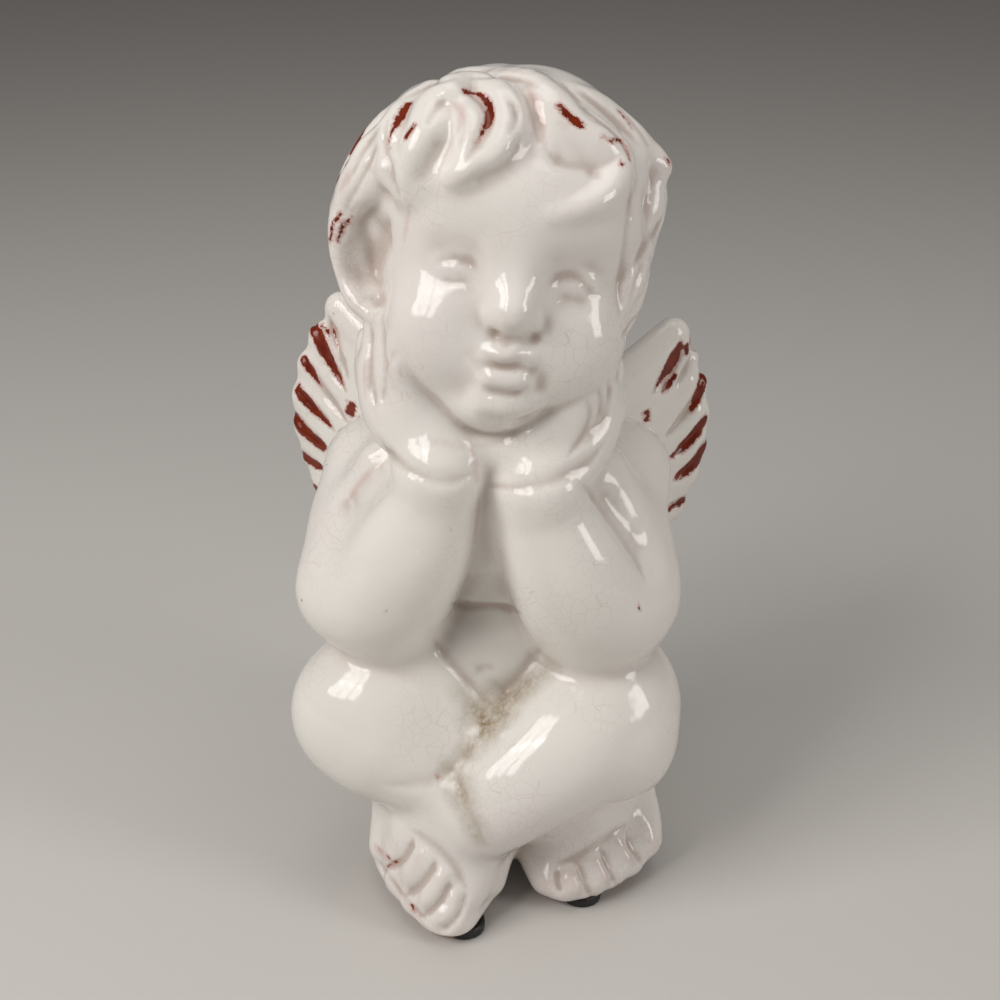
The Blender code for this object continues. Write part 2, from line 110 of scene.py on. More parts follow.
def limb(rows, count, flat=None, share=1.0):
    """A round tapering limb through rows x, y, z, radius. A share below 1 thins it along flat."""
    rows = path(rows, count)
    middle = rows[:, :3]
    radius = rows[:, 3]
    low = (middle - radius[:, None]).min(0)
    high = (middle + radius[:, None]).max(0)

    def distance(p):
        best = None
        for a, b, ra, rb in zip(middle[:-1], middle[1:], radius[:-1], radius[1:]):
            way = b - a
            size = float(way @ way) + 1e-9
            w = [p[i] - np.float32(a[i]) for i in range(3)]
            t = sum(w[i] * np.float32(way[i] / size) for i in range(3))
            t = np.clip(t, 0, 1)
            e = [w[i] - t * np.float32(way[i]) for i in range(3)]
            square = e[0] ** 2 + e[1] ** 2 + e[2] ** 2
            if flat is not None:
                through = sum(e[i] * np.float32(flat[i]) for i in range(3))
                square = square + through**2 * np.float32(1 / share**2 - 1)
            found = np.sqrt(square) - (np.float32(ra) + t * np.float32(rb - ra))
            if flat is not None:
                found = found * np.float32(THINNED)
            best = found if best is None else np.minimum(best, found)
        return best

    return low, high, distance


class Clay:
    """Clay on a grid: each cell holds its distance to the surface, below zero inside."""

    def __init__(self, low, high, grain):
        self.low = np.array(low, float)
        self.step = grain
        self.spare = 2 * grain + 0.4  # how far round a shape its clay is worked out
        count = np.round((np.array(high, float) - self.low) / grain).astype(int) + 1
        self.distance = np.full(count, FAR, np.float32)
        self.places = [(self.low[i] + grain * np.arange(count[i])).astype(np.float32) for i in range(3)]

    def window(self, low, high, margin):
        """The cells within the margin of a box, and their places along each axis."""
        cells = []
        for i in range(3):
            first, last = np.searchsorted(self.places[i], (low[i] - margin, high[i] + margin))
            cells.append(slice(int(first), int(last)))
        x, y, z = (self.places[i][cells[i]] for i in range(3))
        return tuple(cells), (x[:, None, None], y[None, :, None], z[None, None, :])

    def add(self, shape, blend=0.0):
        """Adds a shape, with a rounded joint of the blend's width."""
        cells, at = self.window(shape[0], shape[1], blend + self.spare)
        self.distance[cells] = blended(self.distance[cells], shape[2](at).astype(np.float32), blend)

    def groove(self, shape, depth, width):
        """Presses a hollow along the shape, or raises a ridge where the depth is below zero."""
        cells, at = self.window(shape[0], shape[1], 2.5 * width)
        near = np.maximum(shape[2](at), 0) / np.float32(width)
        self.distance[cells] += np.float32(depth) * np.exp(-near * near)

    def soften(self, passes):
        """Mixes each cell with its neighbours, along one axis after another."""
        for _ in range(passes):
            for axis in range(3):
                old = np.moveaxis(self.distance, axis, 0)
                mixed = old.copy()
                mixed[1:-1] = 0.5 * old[1:-1] + 0.25 * (old[:-2] + old[2:])
                self.distance = np.ascontiguousarray(np.moveaxis(mixed, 0, axis))

    def join(self, other, blend):
        """Takes in clay from a smaller grid whose cells coincide with this one's."""
        first = np.round((other.low - self.low) / self.step).astype(int)
        cells = tuple(slice(a, a + n) for a, n in zip(first, other.distance.shape))
        self.distance[cells] = blended(self.distance[cells], other.distance, blend)

    def sample(self, points):
        """The distance to the surface at each point, between the cells."""
        at = (points - self.low) / self.step
        last = np.array(self.distance.shape) - 2
        first = np.clip(np.floor(at).astype(int), 0, last)
        t = np.clip(at - first, 0, 1)
        value = 0
        for i in (0, 1):
            for j in (0, 1):
                for k in (0, 1):
                    part = (t[:, 0] if i else 1 - t[:, 0]) * (t[:, 1] if j else 1 - t[:, 1])
                    part = part * (t[:, 2] if k else 1 - t[:, 2])
                    value = value + part * self.distance[first[:, 0] + i, first[:, 1] + j, first[:, 2] + k]
        return value

    def skin(self, points, ways, reach=40.0):
        """Where each ray from a point first meets the surface, or else the surface nearest to it."""
        points = np.array(points, float)
        ways = np.array(ways, float)
        ways = ways / np.linalg.norm(ways, axis=1)[:, None]
        steps = np.arange(0, reach, STRIDE)
        found = points.copy()
        free = np.ones(len(points), bool)
        before = self.sample(points)
        least = before.copy()
        nearest = points.copy()
        for at in steps[1:]:
            here = points + ways * at
            value = self.sample(here)
            closer = free & (value < least)
            least[closer] = value[closer]
            nearest[closer] = here[closer]
            hit = free & (value < 0)
            share = before[hit] / np.maximum(before[hit] - value[hit], 1e-6)
            found[hit] = points[hit] + ways[hit] * (at - STRIDE + STRIDE * share[:, None])
            free &= ~hit
            before = value
        for _ in range(3):
            nearest = nearest - self.outward(nearest) * self.sample(nearest)[:, None]
        found[free] = nearest[free]
        return found

    def outward(self, points):
        """The surface's outward way, of length 1, at each point."""
        found = np.zeros_like(points)
        for axis in range(3):
            step = np.zeros(3)
            step[axis] = self.step
            found[:, axis] = self.sample(points + step) - self.sample(points - step)
        return found / (np.linalg.norm(found, axis=1)[:, None] + 1e-9)


# Marks are drawn on an upright pane before the figure, at this y, as seen from here
EYE = np.array((17.1, -326.7, 255.6))
PANE = -40.0
BEFORE_PANE = 30.0  # the rays start this far before it


def sight(rows):
    """Start and way of the rays from the eye through marks x, z of the pane."""
    rows = np.array(rows, float)
    at = np.stack([rows[:, 0], np.full(len(rows), PANE), rows[:, 1]], 1)
    ways = at - EYE
    ways /= np.linalg.norm(ways, axis=1)[:, None]
    return at - ways * BEFORE_PANE, ways


def drawn(clay, rows, count=12):
    """Marks x, z of the pane, joined by a smooth line and laid on the clay."""
    rows = path(rows, count) if len(rows) > 1 else np.array(rows, float)
    start, ways = sight(rows)
    return clay.skin(start, ways, 120.0)


def tapered(at, width):
    """Rows x, y, z, radius along the points; the radius falls below zero at both ends, to fade a groove."""
    share = np.linspace(0, 1, len(at))
    fade = np.clip(np.minimum(share, 1 - share) / 0.22, 0, 1)
    return np.hstack([at, ((fade - 1) * 1.1 * width + 0.05)[:, None]])


def stroke(clay, rows, depth, width, count=12):
    """A groove drawn on the clay, or a ridge where the depth is below zero."""
    at = drawn(clay, rows, count)
    if len(at) == 1:
        clay.groove(ball(at[0], (0.3, 0.3, 0.3)), depth, width)
    else:
        clay.groove(limb(tapered(at, width), len(at)), depth, width)


def raised(clay, rows, blend, count=14):
    """A rounded form laid on the clay along marks x, z, half-width, height of the pane."""
    rows = path(rows, count)
    at = drawn(clay, rows[:, :2], count)
    at = at + clay.outward(at) * (rows[:, 3:4] - rows[:, 2:3])
    clay.add(limb(np.hstack([at, rows[:, 2:3]]), count), blend)


def in_head(rows):
    """Rows x, y, z of the head's own frame, taken to the figure's."""
    rows = np.array(rows, float)
    rows[:, :3] = rows[:, :3] @ HEAD_AXES.T + HEAD
    return rows


def head_ball(middle, radii):
    """An ellipsoid given in the head's own frame."""
    return ball(in_head([middle])[0], radii, HEAD_AXES)


def on_hair(turn, rise, lift):
    """A point over the hair's shell and its outward way; turn 0 is the face and 90 is +X."""
    a = math.radians(turn)
    b = math.radians(rise)
    way = np.array((math.sin(a) * math.cos(b), -math.cos(a) * math.cos(b), math.sin(b)))
    out = way / SKULL
    out /= np.linalg.norm(out)
    return SKULL_MIDDLE + way * SKULL + out * lift, out


def torso(clay):
    """Seat, belly, chest, neck and shoulders."""
    clay.add(ball((0, 12, 22), (36, 29, 27)))
    for side in (-1, 1):
        clay.add(ball((15 * side, 22, 19), (19.5, 20, 20)), 7)
    clay.add(limb([(0, 11, 34, 26), (0, 7, 60, 24.5), (0, 9, 86, 23.5), (0, 9, 104, 18)], 24), 12)
    for side in (-1, 1):
        clay.add(ball((12 * side, 17, 94), (13, 12, 17)), 8)
    clay.add(ball((-1.8, -6.0, 64), (24, 19.5, 18)), 3)
    clay.add(limb([(0, 0, 84, 17), (0, -9, 98, 16.5), (0, -12, 112, 13.5)], 14), 5)
    clay.add(ball((-5, -21, 46), (14, 13, 9)), 6)
    clay.add(limb([(-1, -8, 100, 14), (-1, -9, 90, 13.5), (-1, -9, 82, 12.5)], 10), 3)
    clay.add(limb([(-0.5, -18, 95, 8.5), (-0.5, -21, 106, 8.5), (-1.2, -23, 117, 7.5)], 10), 4)
    clay.add(ball((0, -13, 118), (13, 12, 10)), 4)
    clay.add(limb([(0, 7, 104, 17), (1, 3, 122, 15), (1, 0, 134, 15)], 16), 7)
    clay.add(limb([(-29, 6, 102, 13), (0, 8, 107, 15), (28, 6, 102, 13)], 16), 8)


def legs(clay):
    """Thighs and the crossed shins."""
    clay.add(limb([(-15, 12, 30, 22), (-23, 0, 39, 21.5), (-28.0, -16, 46.5, 20.5)], 24), 8)
    clay.add(ball((-27.5, -20, 47), (22, 16, 19.5)), 6)
    clay.add(limb([
        (-26, -24, 42, 14.5), (-12, -26, 34, 13), (8, -22, 24, 11), (20, -20, 19, 10),
    ], 24), 4)
    clay.add(limb([(15, 12, 30, 22), (20, 0, 41, 21), (24, -13, 48.5, 19.5)], 24), 8)
    shin = [
        (24.5, -18, 49, 19.3), (18, -26, 45, 17.5), (7, -33, 38, 14), (-1, -34.5, 30.5, 12),
        (-4, -33, 25, 10.5),
    ]
    clay.add(limb([(-20, -19.5, 66, 8), (-12, -21.2, 58.6, 8), (-4.5, -22.6, 50.5, 8)], 12), 3)
    clay.add(limb(shin, 44), 7)
    clay.add(ball((30, -24, 42), (13, 12, 13)), 5)


def foot(clay, rays, sole=None):
    """A foot that fans out from the ankle in rays, the last of them towards the heel."""
    for ray in rays:
        clay.add(limb(ray, 14), 3)
    if sole:
        clay.add(limb(sole, 20), 2)


def arms(clay):
    """Upper arms and forearms, elbows on the knees."""
    clay.add(limb([(-29, 4, 101, 13.5), (-33, -6, 91, 13.0), (-32, -15, 83, 13.8)], 18), 4)
    clay.add(ball((-30.5, -18.5, 79.5), (16.5, 14, 13)), 5)
    clay.add(limb([(-30, -13, 86, 13.5), (-26, -13, 97, 13), (-23, -12, 107, 11)], 12), 5)
    fore = [
        (-31.5, -16, 81.5, 14), (-26.5, -21.5, 82.5, 15), (-19.5, -25.5, 94, 14),
        (-13.5, -27, 107, 11), (-12, -28, 116, 9.8),
    ]
    clay.add(limb(fore, 44), 4)
    clay.add(limb([(26.0, 4, 101, 13.2), (28.5, -6, 91, 12.4), (27.6, -15, 81, 13.0)], 18), 4)
    clay.add(ball((26.7, -18.5, 78.5), (15.0, 14, 12.5)), 5)
    clay.add(limb([(28, -13, 86, 13.5), (24, -13, 97, 13), (20, -13, 107, 11.5)], 12), 5)
    fore = [
        (28.5, -16.5, 80.5, 14), (24, -21.5, 81, 15.2), (17.5, -25.5, 92, 14),
        (12, -27, 106, 11), (11, -28, 113, 9.8),
    ]
    clay.add(limb(fore, 44), 4)
    clay.add(limb([(-19, -22, 84, 9), (-21, -20, 77, 9.5), (-25, -20, 73.5, 9.5)], 12), 5)
    clay.add(limb([
        (13.5, -24, 92, 8.5), (14.5, -23, 84, 9.5), (17.5, -21, 76, 9.5), (21, -20, 71.5, 9),
    ], 16), 5)


def hands(clay):
    """Palms under the cheeks, and the edges of the hands along the jaw."""
    clay.add(limb([
        (-11.5, -28, 117, 9.6), (-14.5, -24.5, 121.5, 9.8), (-20.5, -19.5, 128.5, 9.4),
        (-23.5, -16, 136, 7.8),
    ], 14), 3.5)
    clay.add(limb([
        (10.5, -28, 114, 9.6), (11.5, -26.5, 117, 9.4), (17, -23, 121.5, 9), (21.5, -18, 128, 7.6),
    ], 14), 3.5)
    edge = [
        (-20.5, -26.6, 146, 2.4), (-19.8, -27.6, 141.5, 3.2), (-17.8, -27, 136.2, 3.8),
        (-14.3, -27.2, 131.2, 4.2), (-10.5, -28.3, 127, 4.6), (-7, -28.5, 122.5, 4.6),
    ]
    clay.add(limb(edge, 20), 4)
    clay.add(ball((-1.4, -25, 122.5), (6, 6.5, 6)), 3)
    edge = [
        (4.5, -27.5, 122.5, 4.4), (9, -28.2, 126.2, 4.4), (15, -27.2, 129.6, 4.2),
        (20.3, -24.5, 133.8, 3.8), (23.4, -22.8, 138, 2.8),
    ]
    clay.add(limb(edge, 20), 4)


def fingers(clay, roots, tips, bow, radii):
    """Fingers from root to tip, each bent out a little in the middle."""
    for root, tip, radius in zip(np.array(roots, float), np.array(tips, float), radii):
        middle = (root + tip) / 2 + bow
        clay.add(limb([(*root, radius * 1.15), (*middle, radius * 1.08), (*tip, radius * 0.9)], 10), 1.0)


def skull(head):
    """The head's own form, under the face and the hair."""
    head.add(head_ball((-2, 4, 2), (31, 30.5, 32)))
    head.add(head_ball((0, -6, -6), (26.5, 25, 24)), 4)
    head.add(head_ball((0, -11, 12), (26, 20.5, 18)), 8)
    for side in (-1, 1):
        head.add(head_ball((12.2 * side, -18.5, -14.2), (13.8, 13.6, 13.6)), 6)
    head.add(head_ball((0, -16.5, -20.5), (20.5, 16.6, 15.3)), 6)
    head.add(head_ball((-1.5, -26.8, -28.2), (8.0, 6.0, 5.8)), 5)
    head.add(head_ball((0, -24.9, -16.5), (10.5, 9.0, 8.5)), 6)


def face(head):
    """Brow, nose, lips and chin."""
    # sockets under the brow, deepest beside the nose
    for rows, depth, width in (
        ([(-13, 169.3), (-9, 171), (-4.6, 170.8), (-1.5, 168.6)], 0.8, 3.2),
        ([(11, 165.6), (14.7, 167.7), (19.5, 167.3), (23.1, 164.1)], 0.8, 3.2),
        ([(-1.9, 166.8)], 0.4, 2.8),
        ([(10.2, 164.1)], 0.5, 2.8),
        ([(-9.8, 167.7), (-6.2, 167.7)], 0.7, 4),
        ([(15.2, 164), (20, 163.4)], 0.7, 4),
    ):
        stroke(head, rows, depth, width, 8)
    # the nose, short and broad
    head.add(limb(in_head([(0, -25.9, 8, 3.8), (0, -28.0, 2.5, 4.3), (0, -31.0, -2.2, 4.5)]), 8), 6)
    head.add(head_ball((0, -33.8, -4.8), (4.3, 4.3, 4.3)), 2.5)
    for side in (-1, 1):
        head.add(head_ball((3.5 * side, -31.9, -6.3), (2.4, 3.3, 2.4)), 2.0)
    # lips
    raised(head, [
        (-3.6, 146.7, 1.2, 0.4), (-1.2, 147.6, 1.9, 1), (1.3, 148.5, 2.1, 1.4), (3.3, 147.9, 1.8, 0.9),
    ], 1.6, 10)
    raised(head, [
        (2.9, 147.9, 1.8, 0.9), (4.9, 148.4, 2.1, 1.4), (7.6, 147.4, 1.9, 0.9), (10.5, 145.7, 1.2, 0.4),
    ], 1.6, 10)
    raised(head, [
        (-1, 143.3, 2.5, 1.7), (1.5, 142.9, 2.7, 2), (4.8, 142.5, 2.7, 2), (7, 142.6, 2.5, 1.7),
    ], 0.9, 10)
    # chin, and the fullness beside the mouth
    raised(head, [(-1.0, 137.5, 4.8, 2.3), (2.7, 136.7, 5.2, 3), (6.6, 137.2, 4.8, 2.3)], 2.6, 8)


def face_lines(head):
    """Eyes, and the face's fine creases."""
    # eyeballs nearly flush, with a lid line above and a faint hollow below
    for spot, side in (([(-6.4, 166.3)], -1), ([(16.8, 163.0)], 1)):
        at = drawn(head, spot)[0]
        inward = HEAD_AXES[:, 1]
        head.add(ball(at + inward * 3.5, (6.2, 3.8, 3.9), HEAD_AXES @ turned("z", 12 * side)), 1.5)
    for rows, depth, width in (
        ([(-12.2, 166.8), (-9.8, 168.1), (-7, 168.5), (-4.2, 168), (-2.5, 166.4)], 1, 0.9),
        ([
            (11.8, 163.3), (13.6, 164.8), (16, 165.4), (18.6, 164.3), (20.4, 162.2), (21.6, 160.8),
        ], 1.05, 0.9),
        ([(-11.4, 167.7), (-7.4, 169.4), (-3.4, 168.8)], -0.25, 0.8),
        ([(12.8, 165), (16.2, 166.3), (19.3, 165.1), (21.6, 162.2)], -0.25, 0.8),
        ([(-9.9, 164.2), (-6.7, 163.8), (-3.9, 164.7)], 0.45, 0.85),
        ([(14.1, 161.3), (16.9, 160.5), (19.6, 160.8)], 0.5, 0.85),
        ([(-10.7, 162.1), (-6.9, 161.1), (-3.1, 162.9)], 0.22, 1.8),
        ([(13.3, 159.8), (16.9, 158.4), (20.5, 159.5)], 0.3, 1.8),
        # creases round the wings of the nose, nostrils and the groove under it
        ([(-1.3, 157.2), (-1.9, 155.5), (-1.3, 153.9)], 0.25, 1.1),
        ([(11.1, 156.6), (12, 154.7), (11.4, 152.8)], 0.25, 1.1),
        ([(0.9, 153)], 0.7, 0.9),
        ([(9.2, 152.1)], 0.75, 0.9),
        ([(3.7, 151.4), (3.3, 149.4)], 0.4, 1.1),
        # mouth line and corners, the box of the lower lip
        ([
            (-3.4, 147.4), (-1.6, 146.8), (0.5, 146.4), (3.1, 145.8), (5.8, 146.3), (9.9, 145.5),
        ], 1.75, 0.8),
        ([(-3.2, 146.9)], 0.35, 1.2),
        ([(9.2, 145.7)], 0.35, 1.2),
        ([(-1.4, 141.5), (0, 140.7), (3.1, 140.1), (5.8, 140.1), (7.4, 141.3)], 1.25, 0.8),
        ([(-2.2, 145), (-2.2, 142.4)], 0.75, 1),
        ([(8.4, 144.3), (8.5, 141.9)], 0.75, 1),
        # hollows between mouth and cheeks
        ([(-3, 150.2), (-5.3, 146.2), (-5.9, 141.9), (-4.9, 138.3)], 0.8, 3.8),
        ([(9.6, 146.8), (10.9, 143.7), (10.7, 139.8)], 0.9, 1.6),
        ([(-2.1, 135.7), (0.4, 133.7), (3.8, 133.1), (7.5, 133.9), (11.2, 136.5)], 1.2, 2),
    ):
        stroke(head, rows, depth, width, 14)


def lock_rows(marks, count):
    """Rows x, y, z, radius of a lock, and the outward way at each."""
    rows = []
    outs = []
    for turn, rise, wide, height in path(marks, count):
        at, out = on_hair(turn, rise, height - wide)
        rows.append((*at, wide))
        outs.append(out)
    return in_head(rows), np.array(outs) @ HEAD_AXES.T


def lock(head, marks):
    """A lock with a fine groove along it, a little to one side of its crest."""
    length = sum(math.dist(a[:2], b[:2]) for a, b in zip(marks[:-1], marks[1:]))
    count = int(max(12, length / 5))
    rows, outs = lock_rows(marks, count)
    head.add(limb(rows, count), 1.2)
    along = np.gradient(rows[:, :3], axis=0)
    side = np.cross(along, outs)
    side /= np.linalg.norm(side, axis=1)[:, None] + 1e-9
    tilt = math.radians(6)
    at = rows[:, :3] + (outs * math.cos(tilt) + side * math.sin(tilt)) * rows[:, 3:4]
    head.groove(limb(tapered(at[1:-1], 0.9), count - 2), 0.45, 0.9)


def back_lock(index):
    """One of the wavy locks that fall from the crown round the back, the first by the right ear."""
    turn = 106 + 14.0 * index
    heights = (2.4,) * 5
    if index < 3:
        low = 0.8 * index
        heights = (low - 0.8, 1.0 + low / 2, 1.2, 0.2 + low, 0.2 + low)
    if index in LAST_HEIGHTS:
        heights = (*LAST_HEIGHTS[index], 2.2, 2.2, 2.2)
    marks = [(turn * 0.5 + 88, 80, 3.0, -0.6)]
    for bend, height in enumerate(heights):
        rise = 61 - 19 * bend - 5 * (index % 2)
        marks.append((turn + 6.0 * (-1) ** bend, rise, 5.6 - 0.2 * bend, height))
    return marks + [(turn + 9.6, -35, 2.6, 1.6)]


# Locks on the hair's shell: turn, rise, half-width, height
SIDE_LOCKS = [
    # the left side, whose lower end curls in towards the cheek
    [
        (-84, 56, 3, 0), (-78, 46, 5, 1.4), (-75, 36, 5.2, 1.8), (-73, 26, 4.8, 1.8),
        (-74, 18, 3.8, 1.4), (-76, 10, 2.2, 0.6),
    ],
    [
        (-98, 52, 4, 0.4), (-98, 36, 6.2, 1.5), (-93, 18, 6.6, 2.1), (-87, 3, 6.6, 2.8),
        (-83, -12, 6.2, 2.8), (-77, -26, 5.4, 2.3), (-67, -37, 4.4, 2), (-57, -37, 3, 1.2),
    ],
    # long locks over the right side, one standing out as a corner at the temple
    [
        (112, 76, 4, -1.2), (104, 62, 6, -0.4), (98, 51, 6.4, 1.4), (94, 42, 6, 3.3),
        (91, 35, 4.8, 4.3), (89, 29.5, 3.2, 5.2),
    ],
    [
        (90, 33, 3.4, 4), (86, 20, 5.4, 2.4), (78, 9, 5.4, 0), (67, 2, 5, 0.2), (58, -8, 4, 0.8),
        (53, -18, 2.4, 0.4),
    ],
    [
        (104, 12, 4, -0.8), (92, -2, 5, -1.2), (82, -13, 5.4, 0.2), (74, -24, 5.2, 1.6),
        (67, -34, 4.4, 2.6), (58, -42, 2.6, 2),
    ],
]
BACK_LOCKS = 11
# Heights of the upper two bends of the last locks, which lie lower
LAST_HEIGHTS = {8: (1.6, 2.0), 9: (0.4, 1.6), 10: (-1.4, 0.6)}
# Locks over the forehead and temples: marks x, z, half-width, height
FRONT_LOCKS = [
    # two forelocks to the left of the parting, then the curl beside it
    [
        (-11.5, 201.9, 3, 0.8), (-15.7, 197.7, 4.4, 2.2), (-17.6, 192.8, 4.8, 2.8),
        (-18.1, 187.8, 4.2, 2.6), (-17.9, 183.2, 3, 1.6), (-17.6, 179.4, 1.6, 0.2),
    ],
    [
        (-8.1, 202.3, 3, 0.8), (-10.8, 198.5, 4.8, 2.6), (-12.4, 194, 5, 2.8), (-14.6, 189.4, 4.2, 2.2),
        (-16.7, 184.7, 2.6, 1),
    ],
    [
        (-6.6, 200.4, 3, 1.2), (-4.5, 197.1, 4.2, 2.4), (-3.2, 192.6, 3.8, 2.6), (-4.2, 188.4, 3, 2.2),
        (-6.8, 184.5, 1.8, 0.8),
    ],
    [
        (-8.1, 200.8, 3, 0.8), (-4.7, 202.3, 4.4, 2.4), (-0.7, 201.8, 4.6, 2.8), (2.5, 199.2, 4.8, 3.4),
        (3.8, 195.3, 4.6, 3.4), (3.1, 191.1, 4.4, 3.2), (0.2, 187.7, 4, 2.6), (-4.1, 185.1, 3, 1.8),
        (-7.6, 183.7, 1.8, 0.6),
    ],
    # the fringe that sweeps right and hooks back
    [
        (2.1, 204.6, 3.4, 1), (7.7, 202.8, 5.2, 2.2), (11.9, 199.1, 6.2, 3.2), (16.1, 195.1, 6.4, 3.8),
        (20.8, 191.7, 6, 4), (24.3, 188.7, 5, 3.6), (24.8, 184.9, 4.2, 3), (22.6, 181.4, 3.4, 2.4),
        (18, 178.7, 2.6, 1.6), (12.2, 177.1, 1.6, 0.4),
    ],
    # the band beside the face, and the side's own locks
    [
        (17.1, 201.4, 3.4, 0.4), (22, 198.9, 5.2, 1.2), (26, 194.4, 5.6, 2), (28.6, 189.2, 5.4, 2.2),
        (29.5, 182.6, 5.2, 1.4), (29, 175.5, 5, 0.8), (28.3, 168.3, 4.6, 0.5), (27.8, 160.5, 4, 0.3),
        (26.7, 153.3, 2.8, 0),
    ],
    [
        (-17.3, 197, 3.4, 0.8), (-20.9, 191.6, 5, 2), (-23.8, 185.8, 5.4, 2.2), (-26.8, 179.9, 5, 2.2),
        (-29.2, 174.7, 4.2, 2), (-30.2, 169.8, 3.4, 1.8), (-29.3, 164.5, 3.4, 2),
        (-26.9, 159.5, 3.4, 2.2), (-23, 156.2, 2.6, 1.2),
    ],
    [
        (-18.2, 191.3, 3, 1), (-19.9, 187, 4.2, 2), (-22, 182.7, 4.2, 2), (-24.9, 178.7, 3.2, 1.4),
        (-27.4, 175.5, 2, 0.6),
    ],
]
# Lines and hollows of the hair: marks, depth, width
HAIR_LINES = [
    ([(-21.9, 175.6), (-23.6, 171.9), (-25.1, 167.9), (-25.9, 163.7)], 3.4, 5.2),
    ([(-19.9, 175.6), (-21.6, 171.2), (-23.4, 166.6), (-25.2, 162.5)], 2.6, 3.2),
    ([(-24.8, 160.4), (-22.9, 158.3)], 1, 2),
    ([(-19.2, 196.2), (-20.1, 191.6), (-19.3, 186.8), (-18.1, 182), (-17.4, 179.2)], 0.7, 0.9),
    ([(-8.1, 199.7), (-9.6, 198.2), (-11.2, 195.9), (-12.4, 193.6)], 0.5, 0.9),
    ([(-6.2, 198.6), (-4.7, 195.6), (-5.2, 192.6), (-6.3, 189.5)], 0.35, 0.8),
    ([(-9.4, 192.5), (-10.6, 189.5), (-12.6, 186.3), (-15, 183.2)], 0.7, 2.2),
    ([(-3.9, 200.5), (-0.5, 198.6), (0, 195.6), (-2.1, 191.5), (-5.2, 187.2)], 0.9, 1.2),
    ([(2.5, 200.5), (4.9, 197.9), (5.1, 195.3), (3.2, 192.3)], 0.6, 1),
    ([(6.3, 193.8), (5.7, 190.4), (3.2, 187.1), (-1.4, 184.6), (-6, 182.9)], 0.9, 1.6),
    ([(6.6, 202.4), (8.1, 199.5), (9.1, 196.1), (9.9, 192.7), (11.3, 190.1)], 0.5, 1.2),
    ([(3, 201.3), (5.1, 198.3), (5.3, 195.3)], 0.35, 0.8),
    ([(14.1, 202.1), (16.8, 199.2), (19.5, 196.2), (23.7, 194.4)], 0.35, 0.8),
    ([(14.8, 202.5), (19, 199.6), (24.1, 195.2), (25.2, 193.3)], 0.4, 0.8),
    ([(10.9, 189.7), (14.7, 187.8), (18.6, 187.1), (21.3, 185.2)], 0.8, 1.8),
    ([(13.7, 202.8), (18.3, 198.1), (22.2, 195.1), (25.3, 192.2), (27.4, 187.6)], 0.8, 0.9),
    ([(16, 202.5), (20.5, 198.9), (24.8, 195.2), (28.7, 191.1)], 0.5, 0.8),
    ([(24.7, 198.2), (28.6, 194.1), (31, 190.3)], 0.5, 0.9),
    ([(27.7, 188.4), (27.5, 182.6), (27, 176.7), (26.4, 170.7), (25.9, 163.5), (25.9, 157.3)], 0.3, 1),
    ([(32, 185.4), (31.4, 181.5), (30.4, 178.3)], 1.2, 4),
    ([(33.9, 177.6), (32.5, 174.4), (30.3, 170.8), (28.5, 167.1)], 0.8, 1.2),
    ([(30.8, 169.1), (29.4, 164.6), (28, 159.6)], 0.7, 1.1),
    ([(30.1, 158), (28.2, 155), (26.3, 152)], 0.6, 0.9),
    ([(-3.5, 203.4), (1.2, 203.8), (6.8, 203.1), (10.6, 201)], 0.5, 1),
    ([(-16.1, 199.6), (-11.1, 202.2), (-5.4, 203.8)], 0.5, 1),
    ([(-20.4, 195), (-24.5, 189.3), (-27.9, 182.6)], 0.6, 1),
    ([(-21.7, 190.1), (-24.7, 184.6), (-27.6, 179.5), (-29.4, 175.9)], 0.6, 1),
    ([(-25.7, 179.1), (-28.2, 175.5), (-29.6, 171)], 0.6, 0.9),
]


def hair(head):
    """The shell of hair, its locks and its fine lines."""
    head.add(head_ball((-3, 4, 2.0), (33.4, 30.5, 31.5)), 2)
    head.add(head_ball((1.5, 4, 9.6), (26.0, 28, 28.0)), 4)
    head.add(head_ball((-15.5, 1, 9.5), (19, 22, 22.5)), 3)
    for marks in SIDE_LOCKS + [back_lock(index) for index in range(BACK_LOCKS)]:
        lock(head, marks)
    # broad forms under the front locks
    raised(head, [
        (-11.1, 200, 7, 1.2), (-11.6, 194.8, 8, 2.4), (-13.3, 189, 6, 2), (-15.7, 183.6, 3, 0.8),
    ], 5)
    raised(head, [
        (-8.3, 198.2, 4, 1.8), (-9.7, 192.9, 6, 2.6), (-12.2, 187.1, 5, 1.9), (-15, 182, 2.4, 0.6),
    ], 4)
    raised(head, [
        (-4.3, 200.4, 8, 2), (-1.1, 196.4, 9, 3.6), (-1.9, 191.5, 7, 3.2), (-5.6, 186.1, 4, 1.4),
    ], 4)
    raised(head, [(7.7, 202.4, 7, 1.2), (9.1, 198.0, 6, 1.8), (10.7, 193.5, 5, 1.2)], 4)
    for marks in FRONT_LOCKS:
        raised(head, marks, 1.8, 22)
    head.soften(2)
    for rows, depth, width in HAIR_LINES:
        stroke(head, rows, depth, width, 14)


WING_FRONT = 24.0  # no part of the arms lies further back than this
WING_DEPTH = 16.0  # the rays onto a wing's back start this far behind its front
# Each wing: its root, the foot of its lowest feather, and the tips of the feathers from the top down
WINGS = {
    -1: ((-14, 20, 104), (-27, 27, 76), [
        (-44.6, 38.5, 133), (-50.4, 39.4, 124.5), (-54.1, 40.2, 116), (-56, 40.2, 107),
        (-55.8, 40.2, 98.5), (-53.7, 40.2, 90), (-51, 39.4, 82),
    ]),
    1: ((14, 20, 104), (24, 27, 70), [
        (44, 37.5, 127.6), (47.4, 38.5, 121), (50.2, 39.3, 113), (51.2, 39.3, 104.5),
        (50.8, 39.3, 96), (48.8, 39.3, 87.5), (45.4, 38.5, 78),
    ]),
}


